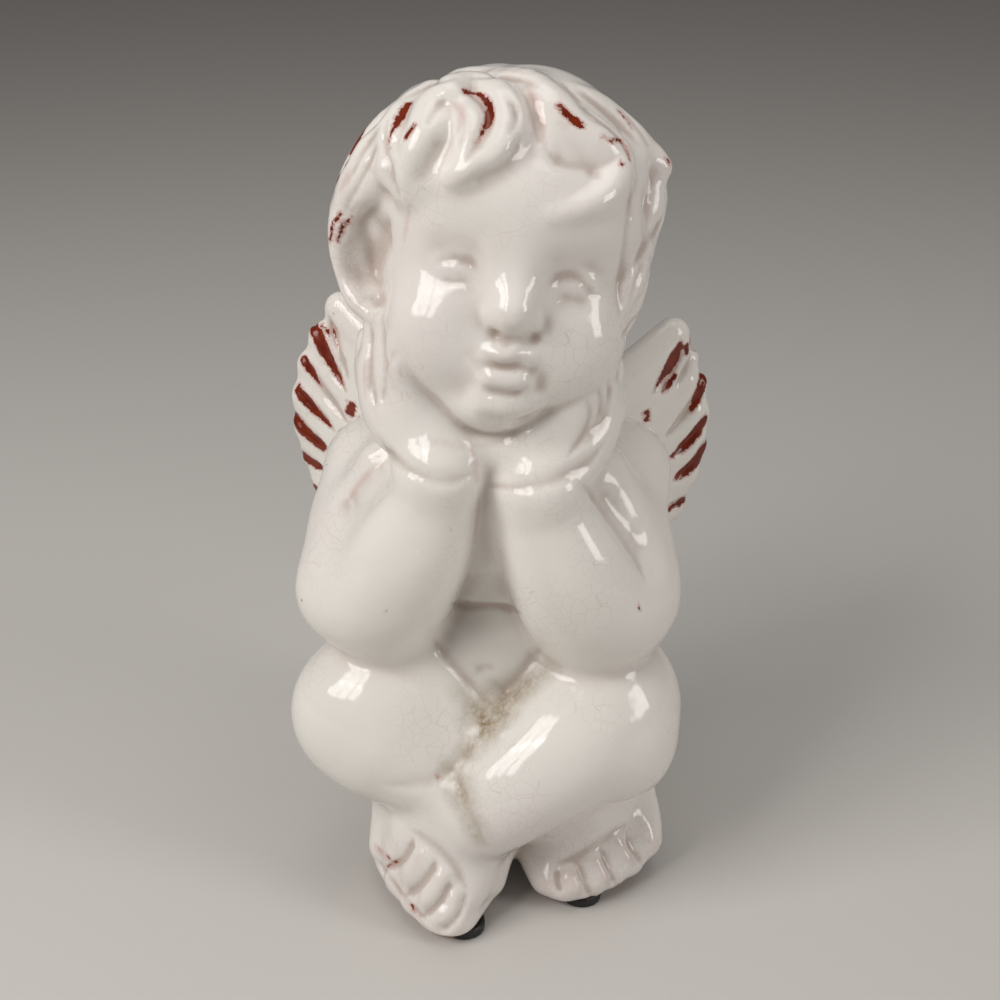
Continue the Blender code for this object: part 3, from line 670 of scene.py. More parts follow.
# Grooves between the feathers, as the front shows them
FEATHER_LINES = {
    -1: [
        [(-32.5, 155.6), (-31.4, 149.9), (-29.4, 143.1)],
        [(-35.9, 154.5), (-33.2, 147.7), (-30, 139.8)],
        [(-38.1, 146.9), (-35.2, 141), (-30.1, 133.1)],
        [(-39.6, 139.6), (-35.9, 134.8), (-31.6, 129.2)],
        [(-41.4, 135.1), (-38.1, 130.2), (-33, 125.7)],
        [(-40, 125.5), (-37.4, 123), (-34.5, 121.5)],
    ],
    1: [
        [(38.2, 151.4), (36.3, 145.8), (33.8, 141.1)],
        [(39.6, 150.6), (37.8, 146.2), (35.3, 141.2)],
        [(41.9, 153.6), (41, 148.5), (38.4, 142.8)],
        [(43.6, 147.7), (42.8, 141.6), (40.8, 136.9), (36.9, 131.6)],
        [(44.3, 135.4), (41.6, 130.4), (37.6, 126.2), (34, 123.6)],
        [(45.2, 131.1), (43, 125.9), (39.9, 122.1), (35.9, 119)],
        [(41.9, 117), (39.4, 115.3), (37.4, 113.8)],
    ],
}


def wing_facing(side):
    """The way that a wing's broad face looks, towards the back."""
    way = np.array((-side * 0.51, 0.86, 0.0))
    return way / np.linalg.norm(way)


def behind_wing(clay, points, flat):
    """The points of the wing's back that lie behind points of its front."""
    return clay.skin(points + flat * WING_DEPTH, np.repeat([-flat], len(points), 0), 1.5 * WING_DEPTH)


def wings(clay):
    """Both wings: feathers, rim and upper edge, with grooves on both faces."""
    for side, (root, fan, tips) in WINGS.items():
        root, fan, tips = (np.array(rows, float) for rows in (root, fan, tips))
        flat = wing_facing(side)
        for index, tip in enumerate(tips[1:]):
            base = root + (fan - root) * (index + 1) / len(tips)
            along = tip - base
            feather = [(*base, 7.0), (*(base + along * 0.5), 6.5), (*(base + along * 0.92), 4.8)]
            clay.add(limb(feather, 8, flat, 0.6), 2.5)
        rim = tips - (tips - fan) * 0.12
        clay.add(limb([(*p, 4.4) for p in rim], 18, flat, 0.45), 2.0)
        along = tips[0] - root
        bow = (-side * 0.5, 0, -0.6 * side)
        edge = [(*root, 8.5), (*(root + along * 0.5 + bow), 6.2), (*(root + along * 0.93), 4.8)]
        clay.add(limb(edge, 18, flat, 0.8), 2.5)
        for rows in FEATHER_LINES[side]:
            at = drawn(clay, rows, 14)
            at = at[at[:, 1] > WING_FRONT]
            for line in (at, behind_wing(clay, at, flat)):
                clay.groove(limb(tapered(line, 1.1), len(line)), 1.9, 1.2)


# Each foot: its rays, and the edge of the sole where that is seen
LEFT_FOOT = dict(
    rays=[
        [(-24.2, -18, 27, 7.5), (-24.6, -20.5, 17.5, 7), (-26.6, -23.8, 9.6, 5.6)],
        [(-20.5, -22, 27, 8.5), (-20.6, -27.5, 16, 6.8), (-22.5, -33, 7.2, 4.8)],
        [(-16.5, -26, 28, 9.5), (-16.2, -33, 17, 7.5), (-18, -39.5, 6.6, 4.6)],
        [(-11.5, -29, 27, 10.5), (-11.5, -37, 17, 7.5), (-13, -44.6, 6.4, 4.4)],
        [(-6.5, -32, 21, 10), (-6, -38, 13, 7), (-8.5, -44.6, 6.2, 4.4)],
        [(-3, -26, 16, 9), (-2.5, -34, 9, 6)],
        [(-4, -24, 14, 9), (4, -14, 13, 9)],
    ],
    sole=[
        (-30.4, -18, 4.4, 2.2), (-27, -28.2, 4.4, 2.2), (-18.8, -40.2, 4.4, 2.2),
        (-11.6, -47.6, 4.4, 2.2), (-6.4, -46.6, 4.4, 2.2), (-2.6, -38, 4.4, 2.2),
    ],
)
RIGHT_FOOT = dict(
    rays=[
        [(33, -9, 20, 7), (36.3, -14.5, 13.5, 5.8), (37.3, -18, 9.4, 5.2)],
        [(29, -13, 20, 8), (31.5, -19, 11, 5.8), (33.4, -23.2, 7, 4.6)],
        [(25, -17, 19, 8.5), (26.8, -23, 11, 6.2), (28.6, -27.4, 6.6, 4.6)],
        [(20, -20, 18, 8.5), (21.8, -26, 11, 6.2), (23.6, -31, 6.4, 4.6)],
        [(16, -22, 17, 8.5), (15.6, -27, 10, 6.5), (18, -32.6, 6.6, 4.8)],
        [(12, -20, 14, 8), (12, -26, 9, 5.6), (13.4, -30.6, 6.6, 4.6)],
        [(14, -18, 14, 9), (8, -10, 13, 9)],
    ],
)
# Toes: each a ridge drawn from root to tip, with its height and width, and the creases between them
LEFT_TOES = [
    ([(-21.4, 27.6), (-23.5, 22.7), (-25.5, 19)], 1.2, 3.4),
    ([(-16.3, 20.6), (-18.8, 15.6), (-21.9, 11.1)], 1.5, 2.3),
    ([(-11, 15.3), (-13.6, 9), (-17.6, 3.8)], 1.5, 2.3),
    ([(-8.4, 9.2), (-9.7, 3.5), (-13.8, -1.1)], 1.3, 2.1),
    ([(-5.5, 7.5), (-6.8, 1.8), (-9.8, -3.5)], 0.6, 1.8),
]
LEFT_CREASES = [
    [(-26.2, 14.6), (-24.2, 16), (-21.7, 17.9), (-19.6, 21.6), (-18.8, 24.7)],
    [(-21.7, 6.8), (-19.5, 8.1), (-17, 10.7), (-14.4, 15.2), (-13.6, 18.3)],
    [(-18.2, 0.3), (-15.7, 1.7), (-12.7, 5.3), (-10.6, 9.8), (-10.6, 12.2)],
    [(-13.8, -4.3), (-11.3, -3.2), (-8.5, 0.4), (-6.7, 5.6), (-6.5, 8.4)],
]
LEFT_TIPS = [(-27.3, 17.1), (-24.8, 12.2), (-21.5, 6.5), (-17.9, 1.3), (-13.8, -3.0)]
LEFT_ROOTS = [(-19.5, 27.1), (-16.2, 24.8), (-12.4, 21.3), (-8.8, 16.0), (-6.2, 10.0)]
RIGHT_TOES = [
    ([(35.4, 33.7), (37.2, 28.8), (38.2, 24.1)], 1.4, 2.8),
    ([(29.5, 26.7), (31.8, 22.6), (33.4, 19.1)], 1.6, 2.2),
    ([(24.2, 20.5), (26.2, 16.9), (27.8, 12.7)], 1.6, 2.2),
    ([(18.5, 16.6), (19.6, 13), (21.1, 9.6)], 1.5, 2.1),
    ([(13.7, 13.9), (14, 11.2), (14.8, 9)], 0.5, 1.8),
]
RIGHT_CREASES = [
    [(32.3, 28), (33.4, 23.9), (35.4, 21), (36.7, 18.6)],
    [(26.3, 23.6), (27.6, 19.4), (29.4, 15.2), (30.7, 12.2)],
    [(20.6, 19.1), (21.9, 14.9), (23.5, 10.7), (24.8, 7.6)],
    [(15.9, 16.5), (15.9, 12.8), (16.7, 9.1)],
]
RIGHT_ROOTS = [(32.4, 31.6), (28.8, 27.9), (25.0, 24.7), (20.8, 20.9), (16.1, 18.3)]


def toes(clay, ridges, creases, roots, tips=None):
    """Ridges and creases of the toes, a crease across their roots and one under their tips."""
    for rows, height, width in ridges:
        stroke(clay, rows, -height, width)
    for rows in creases:
        stroke(clay, rows, 1.05, 1.1, 14)
    stroke(clay, roots, 0.45, 1.6)
    if tips is not None:
        stroke(clay, tips, 0.5, 0.9, 18)


# Creases between the fingers
HAND_LINES = [
    [(-23.4, 149.8), (-24.8, 144.5), (-25.5, 138.8)],
    [(-21.1, 151.1), (-22.9, 145.9), (-24, 140.2), (-23.7, 135.7)],
    [(-18.5, 149.9), (-20.6, 146.6), (-22, 142.4), (-22.2, 137.5)],
    [(23.1, 145.1), (24.7, 140.7), (24.2, 135.6), (22.3, 129.9)],
    [(21.8, 142.4), (23.1, 138.5), (22.2, 133.3), (19.9, 128.1)],
    [(20, 139.3), (20.9, 135.5), (19.6, 131), (16.4, 126.2)],
]


def body_lines(clay):
    """Creases and hollows of the body."""
    # the hollow between the left arm's two parts, and the long crease of the right one
    stroke(clay, [(-21.8, 125.5), (-25.7, 121.9), (-29.8, 117.1), (-33.2, 111.8)], 3.6, 4.2, 12)
    stroke(clay, [(-8.9, 44.1), (-6.6, 38.5), (-4.3, 31.2), (-1.0, 22.4)], 0.4, 1.6, 8)
    stroke(clay, [(-4.9, 52.5), (-7.2, 47.3), (-12.0, 43.2), (-18.4, 40.6), (-25.3, 39.8)], 0.5, 2.4, 12)
    # creases between the belly and the thighs
    stroke(clay, [(-12.7, 80.3), (-10.1, 75.9), (-6.1, 70.8), (-2.5, 66.0), (0.7, 62.9)], 0.5, 1.6, 14)
    stroke(clay, [(11.3, 79.0), (8.4, 74.7), (5.0, 69.3), (1.2, 63.2)], 0.45, 1.6, 14)
    stroke(clay, [(18.6, 121.1), (23.4, 114.9), (28.3, 107.9), (31.9, 101.9), (33.9, 96.5)], 0.5, 1.8)
    stroke(clay, [(23.3, 118.9), (28.6, 111.0), (33.4, 102.9)], 1.0, 4.0)
    # belly: crease above it and the navel
    stroke(clay, [(-8.5, 89.7), (-4.5, 89.3), (2.1, 89.3), (6.5, 87.9)], 1.0, 1.0)
    stroke(clay, [(-3.3, 72.7), (-1.3, 73.6), (0.7, 73.1)], 0.35, 1.5, 6)
    # fold under each palm, and the lines between the fingers
    stroke(clay, [
        (-23.5, 129.3), (-20.7, 125.3), (-17, 122.1), (-12.3, 120.1), (-7.5, 120), (-3.8, 121.7),
    ], 0.8, 1.7, 16)
    stroke(clay, [
        (0.6, 118.8), (6.3, 118.7), (11.6, 120), (16.9, 122.2), (21.4, 125.4), (24.2, 130),
    ], 0.8, 1.7, 16)
    for rows in HAND_LINES:
        stroke(clay, rows, 0.6, 1.1, 12)


# Roots and tips of the four fingers of each hand
LEFT_ROWS = (
    [(-27, -15.5, 127), (-24.4, -20.4, 126.5), (-20.6, -24, 126), (-16.6, -26.6, 125)],
    [(-28.6, -12.5, 141.5), (-26.4, -16, 144.5), (-23.4, -19.2, 145.5), (-20.4, -22.4, 143)],
)
RIGHT_ROWS = (
    [(21.5, -15.5, 119.5), (18.5, -20.5, 117), (14.5, -24.5, 116), (9.5, -27.5, 116.5)],
    [(24.2, -13.5, 138.5), (25.4, -17.4, 137.5), (24.4, -21, 134.5), (20.6, -24.6, 128.5)],
)


def figure():
    """The whole figure's clay: the body is softened before its fine lines, the head is a grid of its own."""
    clay = Clay((-62.4, -56.4, 0.0), (62.4, 56.4, 206.4), GRAIN)
    torso(clay)
    legs(clay)
    arms(clay)
    hands(clay)
    foot(clay, **LEFT_FOOT)
    foot(clay, **RIGHT_FOOT)
    clay.soften(2)
    toes(clay, LEFT_TOES, LEFT_CREASES, LEFT_ROOTS, LEFT_TIPS)
    toes(clay, RIGHT_TOES, RIGHT_CREASES, RIGHT_ROOTS)
    body_lines(clay)
    fingers(clay, *LEFT_ROWS, (-0.8, -0.8, 0), (3.0, 3.3, 3.3, 3.0))
    fingers(clay, *RIGHT_ROWS, (1.6, -0.8, -1.4), (3.0, 3.2, 3.2, 3.1))
    wings(clay)
    head = Clay((-45.6, -50.4, 115.2), (50.4, 48.0, 206.4), GRAIN)
    skull(head)
    head.soften(2)
    face(head)
    head.soften(1)
    face_lines(head)
    hair(head)
    clay.join(head, 1.5)
    z = clay.places[2][None, None, :]
    clay.distance = np.maximum(clay.distance, UNDERSIDE - z).astype(np.float32)
    return clay


def surface(clay):
    """Points, in mm, and four-sided faces of the clay's surface."""
    inside = clay.distance < 0
    nx, ny, nz = clay.distance.shape
    count = np.zeros((nx - 1, ny - 1, nz - 1), np.uint8)
    corners = [(i, j, k) for i in (0, 1) for j in (0, 1) for k in (0, 1)]
    for i, j, k in corners:
        count += inside[i : nx - 1 + i, j : ny - 1 + j, k : nz - 1 + k]
    mixed = (count > 0) & (count < 8)
    cells = np.argwhere(mixed)
    index = np.full(mixed.shape, -1, np.int64)
    index[mixed] = np.arange(len(cells))
    value = {q: clay.distance[tuple((cells + q).T)].astype(float) for q in corners}
    total = np.zeros((len(cells), 3))
    crossings = np.zeros(len(cells))
    for q in corners:
        for axis in range(3):
            if q[axis]:
                continue
            other = tuple(1 if a == axis else q[a] for a in range(3))
            a = value[q]
            b = value[other]
            crossed = (a < 0) != (b < 0)
            point = np.repeat(np.array([q], float), len(cells), 0)
            point[:, axis] += np.where(crossed, a / np.where(a == b, 1, a - b), 0)
            total += point * crossed[:, None]
            crossings += crossed
    points = (cells + total / crossings[:, None]) * clay.step + clay.low
    faces = []
    for axis, a, b in ((0, 1, 2), (1, 2, 0), (2, 0, 1)):
        near = [slice(1, -1)] * 3
        beyond = list(near)
        near[axis] = slice(0, -1)
        beyond[axis] = slice(1, None)
        crossed = inside[tuple(near)] != inside[tuple(beyond)]
        edges = np.argwhere(crossed)
        edges[:, a] += 1
        edges[:, b] += 1
        quad = []
        for back_a, back_b in ((1, 1), (0, 1), (0, 0), (1, 0)):
            at = edges.copy()
            at[:, a] -= back_a
            at[:, b] -= back_b
            quad.append(index[at[:, 0], at[:, 1], at[:, 2]])
        quad = np.stack(quad, 1)
        out = ~inside[tuple(near)][crossed]
        quad[out] = quad[out][:, ::-1]
        faces.append(quad)
    return points, np.vstack(faces)


# Colours of the glaze, the clay under it, what lies on it, and painted shade in its hollows and creases
GLAZE = ((0.79, 0.765, 0.72), (0.77, 0.73, 0.695))
THIN_GLAZE = (0.62, 0.47, 0.45)
# darker glaze in hollows and creases: partly pooled glaze, partly painted shade
POOLED_GLAZE_AND_SHADE = (0.38, 0.28, 0.23)
# pink blush: thin glaze on the hair and toes, and pinkish painted shade in the body's creases
BLUSH_AND_SHADE = (0.55, 0.33, 0.31)
CRACK = (0.42, 0.33, 0.27)
SPECK = (0.16, 0.09, 0.06)
SETTLED_DIRT = (0.21, 0.14, 0.05)
STREAK_EDGE = (0.52, 0.27, 0.24)
FIRED_CLAY = ((0.115, 0.008, 0.001), (0.19, 0.021, 0.003))
RAW_CLAY = ((0.42, 0.20, 0.14), (0.55, 0.33, 0.26))
RUBBER = (0.010, 0.010, 0.011)
RUBBER_DUST = (0.045, 0.042, 0.038)
# The studio; these places are in metres, in the shared frame
FLOOR_COLOUR = (0.58, 0.565, 0.54)
SKY_COLOUR = (0.92, 0.88, 0.86)
LIGHT_COLOUR = (1.0, 0.97, 0.94)
LIGHT_TARGET = (0, 0, 0.10)
SKY_STRENGTH = 0.14
FLOOR_SIZE = 4.0
FLOOR_ROUGHNESS = 0.6
# The window's lowest pane at the left, the steps from pane to pane, and each pane's size and power
FIRST_PANE = (-0.68, -0.30, 0.50)
PANES_ACROSS = 3
PANES_UP = 2
PANE_STEP = (0.15, -0.10, 0.30)
PANE_SIZE = (0.15, 0.27)
PANE_POWER = 0.88
# The other lights: place, size, power
OTHER_LIGHTS = {
    "above": ((0.1, 0.02, 1.15), (0.8, 0.7), 2.9),
    "side": ((0.80, -0.30, 0.40), (0.25, 0.50), 2.5),
}
LENS = 54.0
SENSOR = 36.0
CAMERA_PLACE = (0.0191, -0.3235, 0.2556)
CAMERA_TARGET = (0.0020, 0.0032, 0.0960)


def tree_of(name):
    """A new material, its node tree and shader, and a function that adds a node to it."""
    made = bpy.data.materials.new(name)
    made.use_nodes = True
    tree = made.node_tree
    shader = tree.nodes["Principled BSDF"]

    def node(kind, inputs=(), **settings):
        item = tree.nodes.new("ShaderNode" + kind)
        for key, value in settings.items():
            setattr(item, key, value)
        for key, value in dict(inputs).items():
            if isinstance(value, bpy.types.NodeSocket):
                tree.links.new(value, item.inputs[key])
            else:
                item.inputs[key].default_value = value
        return item

    return made, tree, shader, node


def maths(node, operation, a, b, clamp=False):
    """The outcome of one sum on two values."""
    return node("Math", {0: a, 1: b}, operation=operation, use_clamp=clamp).outputs[0]


def painted(node, share, under, over):
    """The colour under, with that share of the colour over on top of it."""
    item = node("Mix", {0: share}, data_type="RGBA")
    tree = item.id_data
    for key, value in ((6, under), (7, over)):
        if isinstance(value, bpy.types.NodeSocket):
            tree.links.new(value, item.inputs[key])
        else:
            item.inputs[key].default_value = (*value, 1.0)
    return item.outputs[2]


def band(node, value, low, high, to_low=0.0, to_high=1.0):
    """A soft step from to_low to to_high, while the value goes from low to high."""
    inputs = {0: value, 1: low, 2: high, 3: to_low, 4: to_high}
    return node("MapRange", inputs, interpolation_type="SMOOTHSTEP").outputs[0]


def glaze():
    """White crackle glaze over red clay: thin and pinkish on edges, wiped off in streaks."""
    made, tree, shader, node = tree_of("crackle_glaze")
    place = node("NewGeometry").outputs["Position"]

    def noise(scale, detail, roughness=0.5):
        inputs = {"Vector": place, "Scale": scale, "Detail": detail, "Roughness": roughness}
        return node("TexNoise", inputs).outputs

    def weight(name):
        return node("Attribute", attribute_name=name).outputs["Fac"]

    def times(a, b):
        return maths(node, "MULTIPLY", a, b)

    def plus(a, b):
        return maths(node, "ADD", a, b)

    def centred(value, reach):
        return times(maths(node, "SUBTRACT", value, 0.5), reach)

    broad = noise(14.0, 1.0)[0]
    cloud = noise(38.0, 3.0)[0]
    wave = noise(150.0, 2.0)[0]
    mottle = noise(260.0, 3.0, 0.6)[0]
    grain = noise(520.0, 3.0, 0.6)[0]
    fine = noise(900.0, 3.0, 0.65)[0]

    # the glaze's colour: pinkish where it is thin, and darker in hollows and creases, partly pooled glaze
    # and partly painted shade
    colour = painted(node, band(node, broad, 0.35, 0.68), *GLAZE)
    thin = times(weight("ridge"), band(node, cloud, 0.3, 0.7, 0.25, 1.0))
    colour = painted(node, times(thin, 0.50), colour, THIN_GLAZE)
    # painted shade, with pooled glaze, in hollows and fine creases
    colour = painted(node, times(weight("pool_and_shade"), 0.82), colour, POOLED_GLAZE_AND_SHADE)
    # pink blushes: thin glaze on the hair and toes, and pinkish painted shade in the body's creases and the
    # left arm's hollow
    blush_and_shade = band(node, plus(weight("thin"), centred(mottle, 0.5)), 0.25, 0.75)
    colour = painted(node, times(blush_and_shade, 0.38), colour, BLUSH_AND_SHADE)

    # crazing: two nets of hairlines, the finer one only here and there
    swirl = noise(70.0, 2.0)[1]
    shift = {0: swirl, 1: (0.006, 0.006, 0.006), 2: place}
    shifted = node("VectorMath", shift, operation="MULTIPLY_ADD").outputs[0]
    cracks = []
    for scale, width in ((320.0, 0.028), (560.0, 0.035)):
        inputs = {"Vector": shifted, "Scale": scale}
        net = node("TexVoronoi", inputs, feature="DISTANCE_TO_EDGE").outputs["Distance"]
        cracks.append(band(node, net, 0.0, width, 1.0, 0.0))
    second = times(cracks[1], band(node, broad, 0.5, 0.62))
    craze = times(maths(node, "MAXIMUM", cracks[0], second), band(node, cloud, 0.42, 0.66))
    colour = painted(node, times(craze, 0.27), colour, CRACK)

    # dark specks in the glaze, in a few of the cells
    specks = node("TexVoronoi", {"Vector": place, "Scale": 62.0}, feature="F1").outputs
    chosen = band(node, node("TexWhiteNoise", {"Vector": specks["Color"]}).outputs[0], 0.80, 0.82)
    dot = times(band(node, specks["Distance"], 0.014, 0.030, 1.0, 0.0), chosen)
    colour = painted(node, times(dot, 0.8), colour, SPECK)

    # dirt settled in the lap
    grains = times(band(node, mottle, 0.32, 0.64, 0.60, 1.0), band(node, fine, 0.40, 0.60, 0.78, 1.0))
    stain = times(weight("stain"), grains)
    colour = painted(node, stain, colour, SETTLED_DIRT)

    # clay showing through, pinkish where the glaze is only thin, and unglazed clay underneath
    ragged = plus(plus(weight("clay"), centred(fine, 0.6)), centred(grain, 0.55))
    colour = painted(node, band(node, ragged, 0.20, 0.50, 0.0, 0.60), colour, STREAK_EDGE)
    bare = band(node, ragged, 0.48, 0.60)
    colour = painted(node, bare, colour, painted(node, band(node, mottle, 0.3, 0.7), *FIRED_CLAY))
    raw = band(node, plus(weight("raw"), centred(mottle, 0.5)), 0.42, 0.62)
    colour = painted(node, raw, colour, painted(node, mottle, *RAW_CLAY))
    tree.links.new(colour, shader.inputs["Base Color"])

    rough = plus(0.075, times(bare, 0.12))
    rough = plus(rough, times(stain, 0.60))
    rough = plus(rough, times(raw, 0.55))
    rough = maths(node, "ADD", rough, times(cloud, 0.05), True)
    tree.links.new(rough, shader.inputs["Roughness"])
    shader.inputs["IOR"].default_value = 1.52
    shader.inputs["Specular IOR Level"].default_value = 0.40

    # a little unevenness: orange peel, brushed glaze, bare clay lying lower and a grainy underside
    height = times(mottle, 0.10)
    height = plus(height, times(cloud, 0.55))
    height = plus(height, times(wave, 0.32))
    height = maths(node, "SUBTRACT", height, times(bare, 0.10))
    height = plus(height, times(times(fine, raw), 0.12))
    bump = node("Bump", {"Height": height, "Strength": 0.45, "Distance": 0.0010})
    tree.links.new(bump.outputs[0], shader.inputs["Normal"])
    return made


def rubber():
    """Black rubber with a little dust on it."""
    made, tree, shader, node = tree_of("black_rubber")
    place = node("NewGeometry").outputs["Position"]
    grain = node("TexNoise", {"Vector": place, "Scale": 1400.0, "Detail": 3.0}).outputs[0]
    dust = node("TexNoise", {"Vector": place, "Scale": 240.0, "Detail": 4.0}).outputs[0]
    colour = painted(node, band(node, dust, 0.5, 0.75, 0.0, 0.5), RUBBER, RUBBER_DUST)
    tree.links.new(colour, shader.inputs["Base Color"])
    tree.links.new(band(node, dust, 0.3, 0.7, 0.42, 0.62), shader.inputs["Roughness"])
    bump = node("Bump", {"Height": grain, "Strength": 0.25, "Distance": 0.0002})
    tree.links.new(bump.outputs[0], shader.inputs["Normal"])
    return made


MARK_REACH = 4.0  # marks are worked out up to this far round their points
MARK_POINTS = 8  # points along each mark
OVER_HAIR = 9.0  # how far over the hair's shell the rays onto it start
HAIR_REACH = 16.0  # how far those rays go


def near_lines(points, lines):
    """For each point, how far it is inside the nearest of the lines of rows x, y, z, half-width."""
    found = np.full(len(points), -FAR)
    for line in lines:
        low = line[:, :3].min(0) - MARK_REACH
        high = line[:, :3].max(0) + MARK_REACH
        close = np.flatnonzero(((points > low) & (points < high)).all(1))
        if not len(close):
            continue
        at = points[close]
        best = np.full(len(close), -FAR)
        for a, b in zip(line[:-1], line[1:]):
            way = b[:3] - a[:3]
            share = np.clip((at - a[:3]) @ way / (way @ way + 1e-9), 0, 1)
            gap = np.linalg.norm(at - a[:3] - share[:, None] * way, axis=1)
            best = np.maximum(best, a[3] + share * (b[3] - a[3]) - gap)
        found[close] = np.maximum(found[close], best)
    return found


def hair_lines(clay, strokes):
    """Each run of marks turn, rise, half-width of the hair's shell, laid on the clay."""
    lines = []
    for marks in strokes:
        rows = path(marks, MARK_POINTS)
        start = []
        way = []
        for turn, rise, _ in rows:
            at, out = on_hair(turn, rise, OVER_HAIR)
            start.append(at)
            way.append(-out)
        start = in_head(start)
        at = clay.skin(start, np.array(way) @ HEAD_AXES.T, HAIR_REACH)
        lines.append(np.hstack([at, rows[:, 2:3]]))
    return lines


def laid(clay, marks, front=-np.inf):
    """Runs of marks x, z, half-width of the pane, laid on the clay and kept where y is past front."""
    lines = []
    for rows in marks:
        rows = path(rows, MARK_POINTS)
        line = np.hstack([drawn(clay, rows[:, :2], MARK_POINTS), rows[:, 2:3]])
        line = line[line[:, 1] > front]
        if len(line) > 1:
            lines.append(line)
    return lines


def laid_behind(clay, lines, flat):
    """The same lines, on the back of the wing."""
    found = []
    for line in lines:
        found.append(np.hstack([behind_wing(clay, line[:, :3], flat), line[:, 3:4]]))
    return found


# Streaks of bare clay at the back of the hair: turn, rise, half-width
BACK_STREAKS = [
    [(118, 48, 0.4), (112, 38, 1), (116, 26, 0.4)],
    [(146, 40, 0.3), (140, 28, 1.1), (145, 14, 0.4)],
    [(178, 52, 0.4), (172, 40, 1.2), (176, 30, 0.3)],
    [(206, 36, 0.3), (200, 22, 1.1), (206, 8, 0.3)],
    [(232, 44, 0.4), (226, 30, 1), (231, 18, 0.3)],
    [(160, -2, 0.3), (166, -12, 0.9), (160, -22, 0.3)],
    [(216, -8, 0.3), (221, -18, 0.9), (216, -26, 0.3)],
]
# Streaks of bare clay that the front shows: marks and half-width
HAIR_STREAKS = [
    [
        (-15.3, 198.3, 0.9), (-16.5, 196.6, 1.2), (-17.5, 194.9, 0.7), (-18.5, 193.4, 0.35),
        (-19.2, 191.6, 0.3), (-19, 190.1, 0.05),
    ],
    [(-14.5, 194.2, 0.7), (-15.9, 192.4, 0.7)],
    [
        (-4.7, 201, 0.6), (-3, 200.6, 0.5), (-0.9, 199.9, 0.6), (0.4, 197.7, 1), (0, 195.6, 1),
        (-1, 193.6, 0.5), (-2.1, 191.5, 0.1),
    ],
    [(13.4, 198.4, 0.8), (14.9, 196.9, 0.9), (16.5, 195.6, 0.9), (17.8, 194.5, 0.5)],
    [(21.5, 192.7, 0.2), (23.4, 192, 0.35), (24.9, 192.2, 0.5), (26.1, 190.8, 0.35), (26.9, 188.4, 0.1)],
    [(25.2, 188, 0.55), (25.5, 187.6, 0.55)],
    [(34, 188.5, 0.4), (34.4, 188.1, 0.4)],
    [
        (-22.7, 195.6, 0.5), (-24.5, 192.5, 1.1), (-26.2, 189.8, 1.1), (-27.7, 186.9, 0.9),
        (-30.2, 182.6, 0.6), (-31.3, 179.8, 0.2),
    ],
    [(-29.1, 177.3, 0.3), (-30.8, 174.9, 0.55), (-31.7, 171.6, 0.4)],
    [(-27.2, 176.5, 0.3), (-28.6, 174.9, 0.5), (-30, 171.6, 0.35)],
    [(24.3, 197.8, 0.2), (25.7, 196.3, 0.3), (27.1, 194.4, 0.1)],
]
# Pink blushes: on the hair and toes, where the glaze is thin but not gone; in the left arm's hollow, the
# crease over the belly, the channel between the forearms and between two fingers, pinkish painted shade
BLUSHES_AND_CREASE_SHADE = [
    [(7.4, 202, 0.4), (8.7, 199.5, 0.9), (9.9, 195.8, 0.7), (10.5, 192.4, 0.3)],
    [(-1.3, 204.7, 0.2), (3, 204.9, 0.4), (7, 204.4, 0.1)],
    [(-7, 198.9, 0.6), (-5.1, 197.1, 0.9), (-5.9, 193.7, 0.4)],
    [(-29.1, 181.8, 0.4), (-28, 183.8, 0.8), (-26.9, 185.8, 0.4)],
    [(13.5, 195.4, 0.4), (14.6, 194.5, 0.5)],
    [(-15.5, 179.1, 0.2), (-16.4, 174.5, 0.5), (-17.3, 170, 0.2)],
    [(-27.9, 21.9, 0.5), (-27, 20.1, 1.2), (-25.1, 18.4, 1)],
    [(-26.4, 15.3, 0.2), (-22.5, 7.7, 0.4), (-19.6, 2.5, 0.5), (-16.3, -2.5, 0.2)],
    [(-8.5, 90.2, 0.1), (-4.5, 89.8, 0.35), (2.1, 89.8, 0.3), (6.1, 88.6, 0.1)],
    [(-4.2, 129.3, 0.1), (-3, 122.5, 0.4), (-2.6, 113, 0.4), (-4.4, 100.9, 0.1)],
    [(-22.9, 124.3, 0.1), (-26.4, 120.5, 0.9), (-30.1, 115.2, 0.5), (-32.4, 111.8, 0.1)],
    [(-24.9, 148.5, 0.2), (-25.9, 143.2, 0.5), (-25.7, 137.9, 0.2)],
]
# Fine creases given painted shade: marks and half-width
CREASE_SHADE = [
    [
        (-3.2, 146.9, 0.1), (-1.2, 146.5, 0.3), (1.3, 146.2, 0.35), (3.3, 145.8, 0.3), (6.2, 145.8, 0.35),
        (9, 145.2, 0.1),
    ],
    [(0.7, 153, 0.35), (1.3, 152.8, 0.25)],
    [(9, 152.1, 0.35), (9.6, 152.1, 0.25)],
    [(-1.2, 141.3, 0), (0.4, 140.4, 0.15), (3.3, 140.1, 0.15), (6.2, 140.3, 0.15), (7.6, 141.5, 0)],
    [(-12.6, 129.1, 0), (-8.4, 128.1, 0.1), (-4.2, 128, 0.1), (0, 128.5, 0.1), (6.3, 130.5, 0)],
]
# Small bare spots
SPOTS = [
    [(-25.4, 15.9, 0.35), (-23.7, 16.9, 0.3), (-21.9, 17.9, 0.1)],
    [(-19.6, 3.7, 0.35), (-19.1, 2.5, 0.35)],
    [(-27.2, 21, 0.25), (-26.7, 20.4, 0.25)],
    [(-25.3, 19, 0.25), (-24.8, 18.4, 0.25)],
    [(-23.7, 87.7, 0.15), (-23.5, 87.5, 0.15)],
    [(32.6, 90.2, 0.3), (32.9, 89.7, 0.3)],
    [(-12.7, 43.1, 0.2), (-12.5, 42.8, 0.2)],
]
